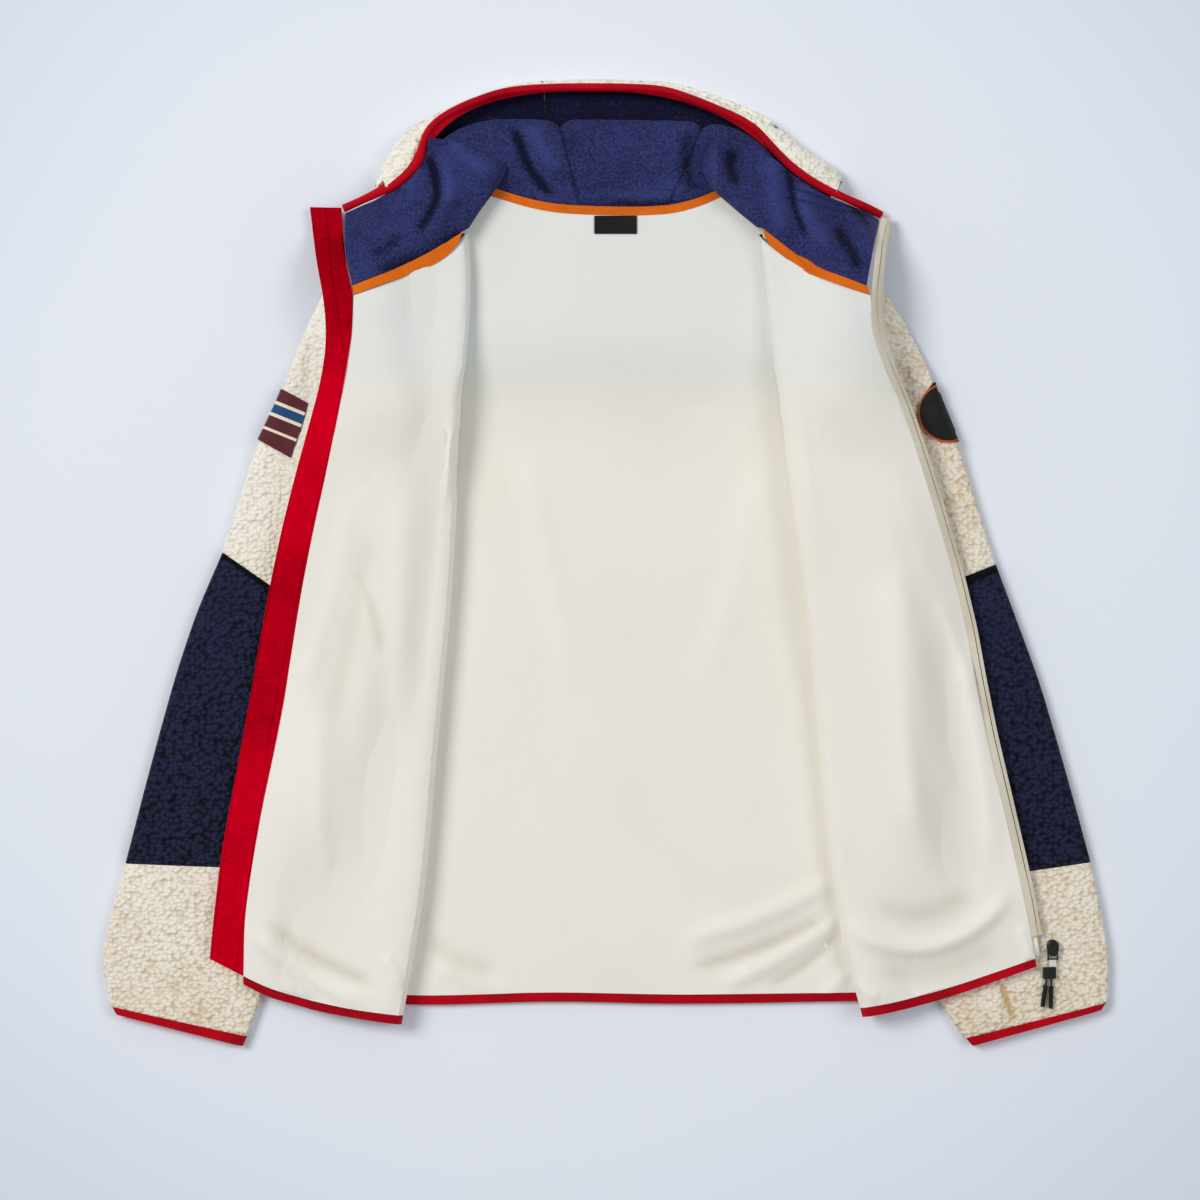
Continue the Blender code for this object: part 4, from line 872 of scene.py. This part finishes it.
# stitches of that pitch along each row, where the piece lies evenly under them
def buildStitches(name, settings):
    spot = surfaceOf(settings["on"])
    form = bmesh.new()
    for row in settings["rows"]:
        places = walk(rounded(spots(row)), settings["pitch"])
        for here, there in zip(places[:-1], places[1:]):
            start, normal = spot(*here)
            end, _ = spot(*there)
            if start is None or end is None or abs(start.z - end.z) > steepStitch:
                continue
            middle = (start + end) / 2 + normal * settings["lift"] / metre
            length, width = settings["length"] / metre, settings["width"] / metre
            bmesh.ops.create_icosphere(form, subdivisions=1, radius=1, matrix=turnedTo(
                middle, end - start, normal, (length / 2, width / 2, width / 3)))
    piece = finishMesh(name, form, settings["cloth"])
    piece.data.shade_smooth()
    return piece


# teeth of that pitch down the middle of the chain
def buildTeeth(name, settings):
    points = np.array([v.co[:] for v in made[settings["on"]].data.vertices])
    rows = np.arange(points[:, 1].max() - settings["end"], points[:, 1].min() + settings["end"],
                     -settings["pitch"] / metre)
    line = []
    for y in rows:
        near = points[np.abs(points[:, 1] - y) < settings["reach"]]
        line.append(Vector((near[:, 0].mean(), y, near[:, 2].max())))
    form = bmesh.new()
    for here, there in zip(line[:-1], line[1:]):
        bmesh.ops.create_cube(form, size=1, matrix=turnedTo((here + there) / 2, there - here, Vector((0, 0, 1)), (
            settings["thick"] / metre, settings["width"] / metre, settings["height"] / metre)))
    return finishMesh(name, form, settings["cloth"])


steepStitch = 0.002
tapeStitch = {"cloth": "orangeTape", "pitch": 2.6, "length": 2.0, "width": 0.5, "lift": 0.05}
stitchRows = {
    "placketStitches": {
        "on": "placketCloth", "cloth": "redThread", "pitch": 3.0, "length": 2.3, "width": 0.7, "lift": 0.05,
        "rows": [[(276, 214), (284, 290), (308, 352), (302, 430), (280, 530), (238, 740), (207, 940)],
                 [(298, 222), (309, 290), (322, 350), (316, 430), (296, 530), (254, 740), (226, 950)]]},
    "neckTapeStitches": {**tapeStitch, "on": "neckTapeBackCloth",
                         "rows": [[(506, 196), (545, 207), (605, 212), (660, 209), (706, 196)]]},
    "leftTapeStitches": {**tapeStitch, "on": "neckTapeLeftCloth",
                         "rows": [[(362, 284), (400, 272), (440, 254), (458, 240)]]},
    "rightTapeStitches": {**tapeStitch, "on": "neckTapeRightCloth",
                          "rows": [[(768, 238), (790, 254), (820, 270), (862, 284)]]},
}
zipTeeth = {"on": "zipChainCloth", "cloth": "creamTape", "pitch": 1.5, "thick": 0.75, "width": 2.6, "height": 1.0,
            "end": 0.002, "reach": 0.0025}
for name, settings in stitchRows.items():
    made[name] = buildStitches(name, settings)
    print(name, len(made[name].data.polygons))
made["zipTeeth"] = buildTeeth("zipTeeth", zipTeeth)
made["hoodEdgePile"] = buildHoodEdge()
print("hood edge made")

# the CAD nodes that show as they are
hardNodes = {"zip_slider": "blackRubber", "pull_band": "whiteBand", "pull_block": "blackRubber",
             "pull_tail_left": "blackCord", "pull_tail_right": "blackCord"}
for node, paint in hardNodes.items():
    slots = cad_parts[node].data.materials
    for k in range(len(slots)):
        slots[k] = materials[paint]

# the photographer's table from straight above: a pale floor, a large lamp at the upper left and a weak one at the
# right; the camera's view is frameWidth wide at the floor
stage = {
    "floorReach": 6.0, "floorDrop": 0.0004, "paleTo": 0.42, "deepFrom": 0.95,
    "room": (0.93, 0.96, 1.0, 1), "roomStrength": 0.34,
    "lens": 100, "sensor": 36, "frameWidth": 1.08, "cameraLift": 0.02, "middle": (-0.005, -0.034),
}
lamps = {
    "keyLamp": {"place": (-3.9, 2.0, 5.0), "size": 3.0, "power": 235, "colour": (1.0, 0.985, 0.96)},
    "fillLamp": {"place": (3.8, 0.8, 4.6), "size": 3.0, "power": 75, "colour": (0.96, 0.98, 1.0)},
}


# the floor is painted paler in the middle and darker from paleTo out to deepFrom, a painted pool of light, with random
# tone
def floorPaint(start, place):
    far = place.node("VectorMath", {0: place}, output=1, operation="LENGTH")
    tone = far.within(stage["paleTo"], stage["deepFrom"]) + (speckle(place, 1.3) - 0.5) * 0.3
    return {"Base_Color": tone.within(0, 1).mix(linear(238, 243, 252), linear(220, 228, 241))}


def addLamp(name, settings):
    data = bpy.data.lights.new(name, "AREA")
    data.shape, data.size = "DISK", settings["size"]
    data.energy, data.color = settings["power"], settings["colour"]
    lamp = bpy.data.objects.new(name, data)
    lamp.location = settings["place"]
    lamp.rotation_euler = (-Vector(settings["place"])).to_track_quat("-Z", "Y").to_euler()
    bpy.context.scene.collection.objects.link(lamp)


def buildStage():
    data = bpy.data.meshes.new("floorSheet")
    reach, height = stage["floorReach"], -stage["floorDrop"]
    data.from_pydata([(-reach, -reach, height), (reach, -reach, height), (reach, reach, height),
                      (-reach, reach, height)], [], [(0, 1, 2, 3)])
    data.materials.append(fabric("floorPaint", floorPaint, Roughness=0.8))
    floor = bpy.data.objects.new("floorSheet", data)
    bpy.context.scene.collection.objects.link(floor)
    world = bpy.data.worlds.new("paleRoom")
    world.use_nodes = True
    world.node_tree.nodes["Background"].inputs["Color"].default_value = stage["room"]
    world.node_tree.nodes["Background"].inputs["Strength"].default_value = stage["roomStrength"]
    bpy.context.scene.world = world
    for name, settings in lamps.items():
        addLamp(name, settings)
    bpy.context.scene.view_settings.view_transform = "Standard"
    camera = bpy.data.cameras.new("topCamera")
    camera.lens, camera.sensor_width = stage["lens"], stage["sensor"]
    seen = bpy.data.objects.new("topCamera", camera)
    distance = stage["frameWidth"] * stage["lens"] / stage["sensor"]
    seen.location = (*stage["middle"], distance + stage["cameraLift"])
    bpy.context.scene.collection.objects.link(seen)
    bpy.context.scene.camera = seen


buildStage()
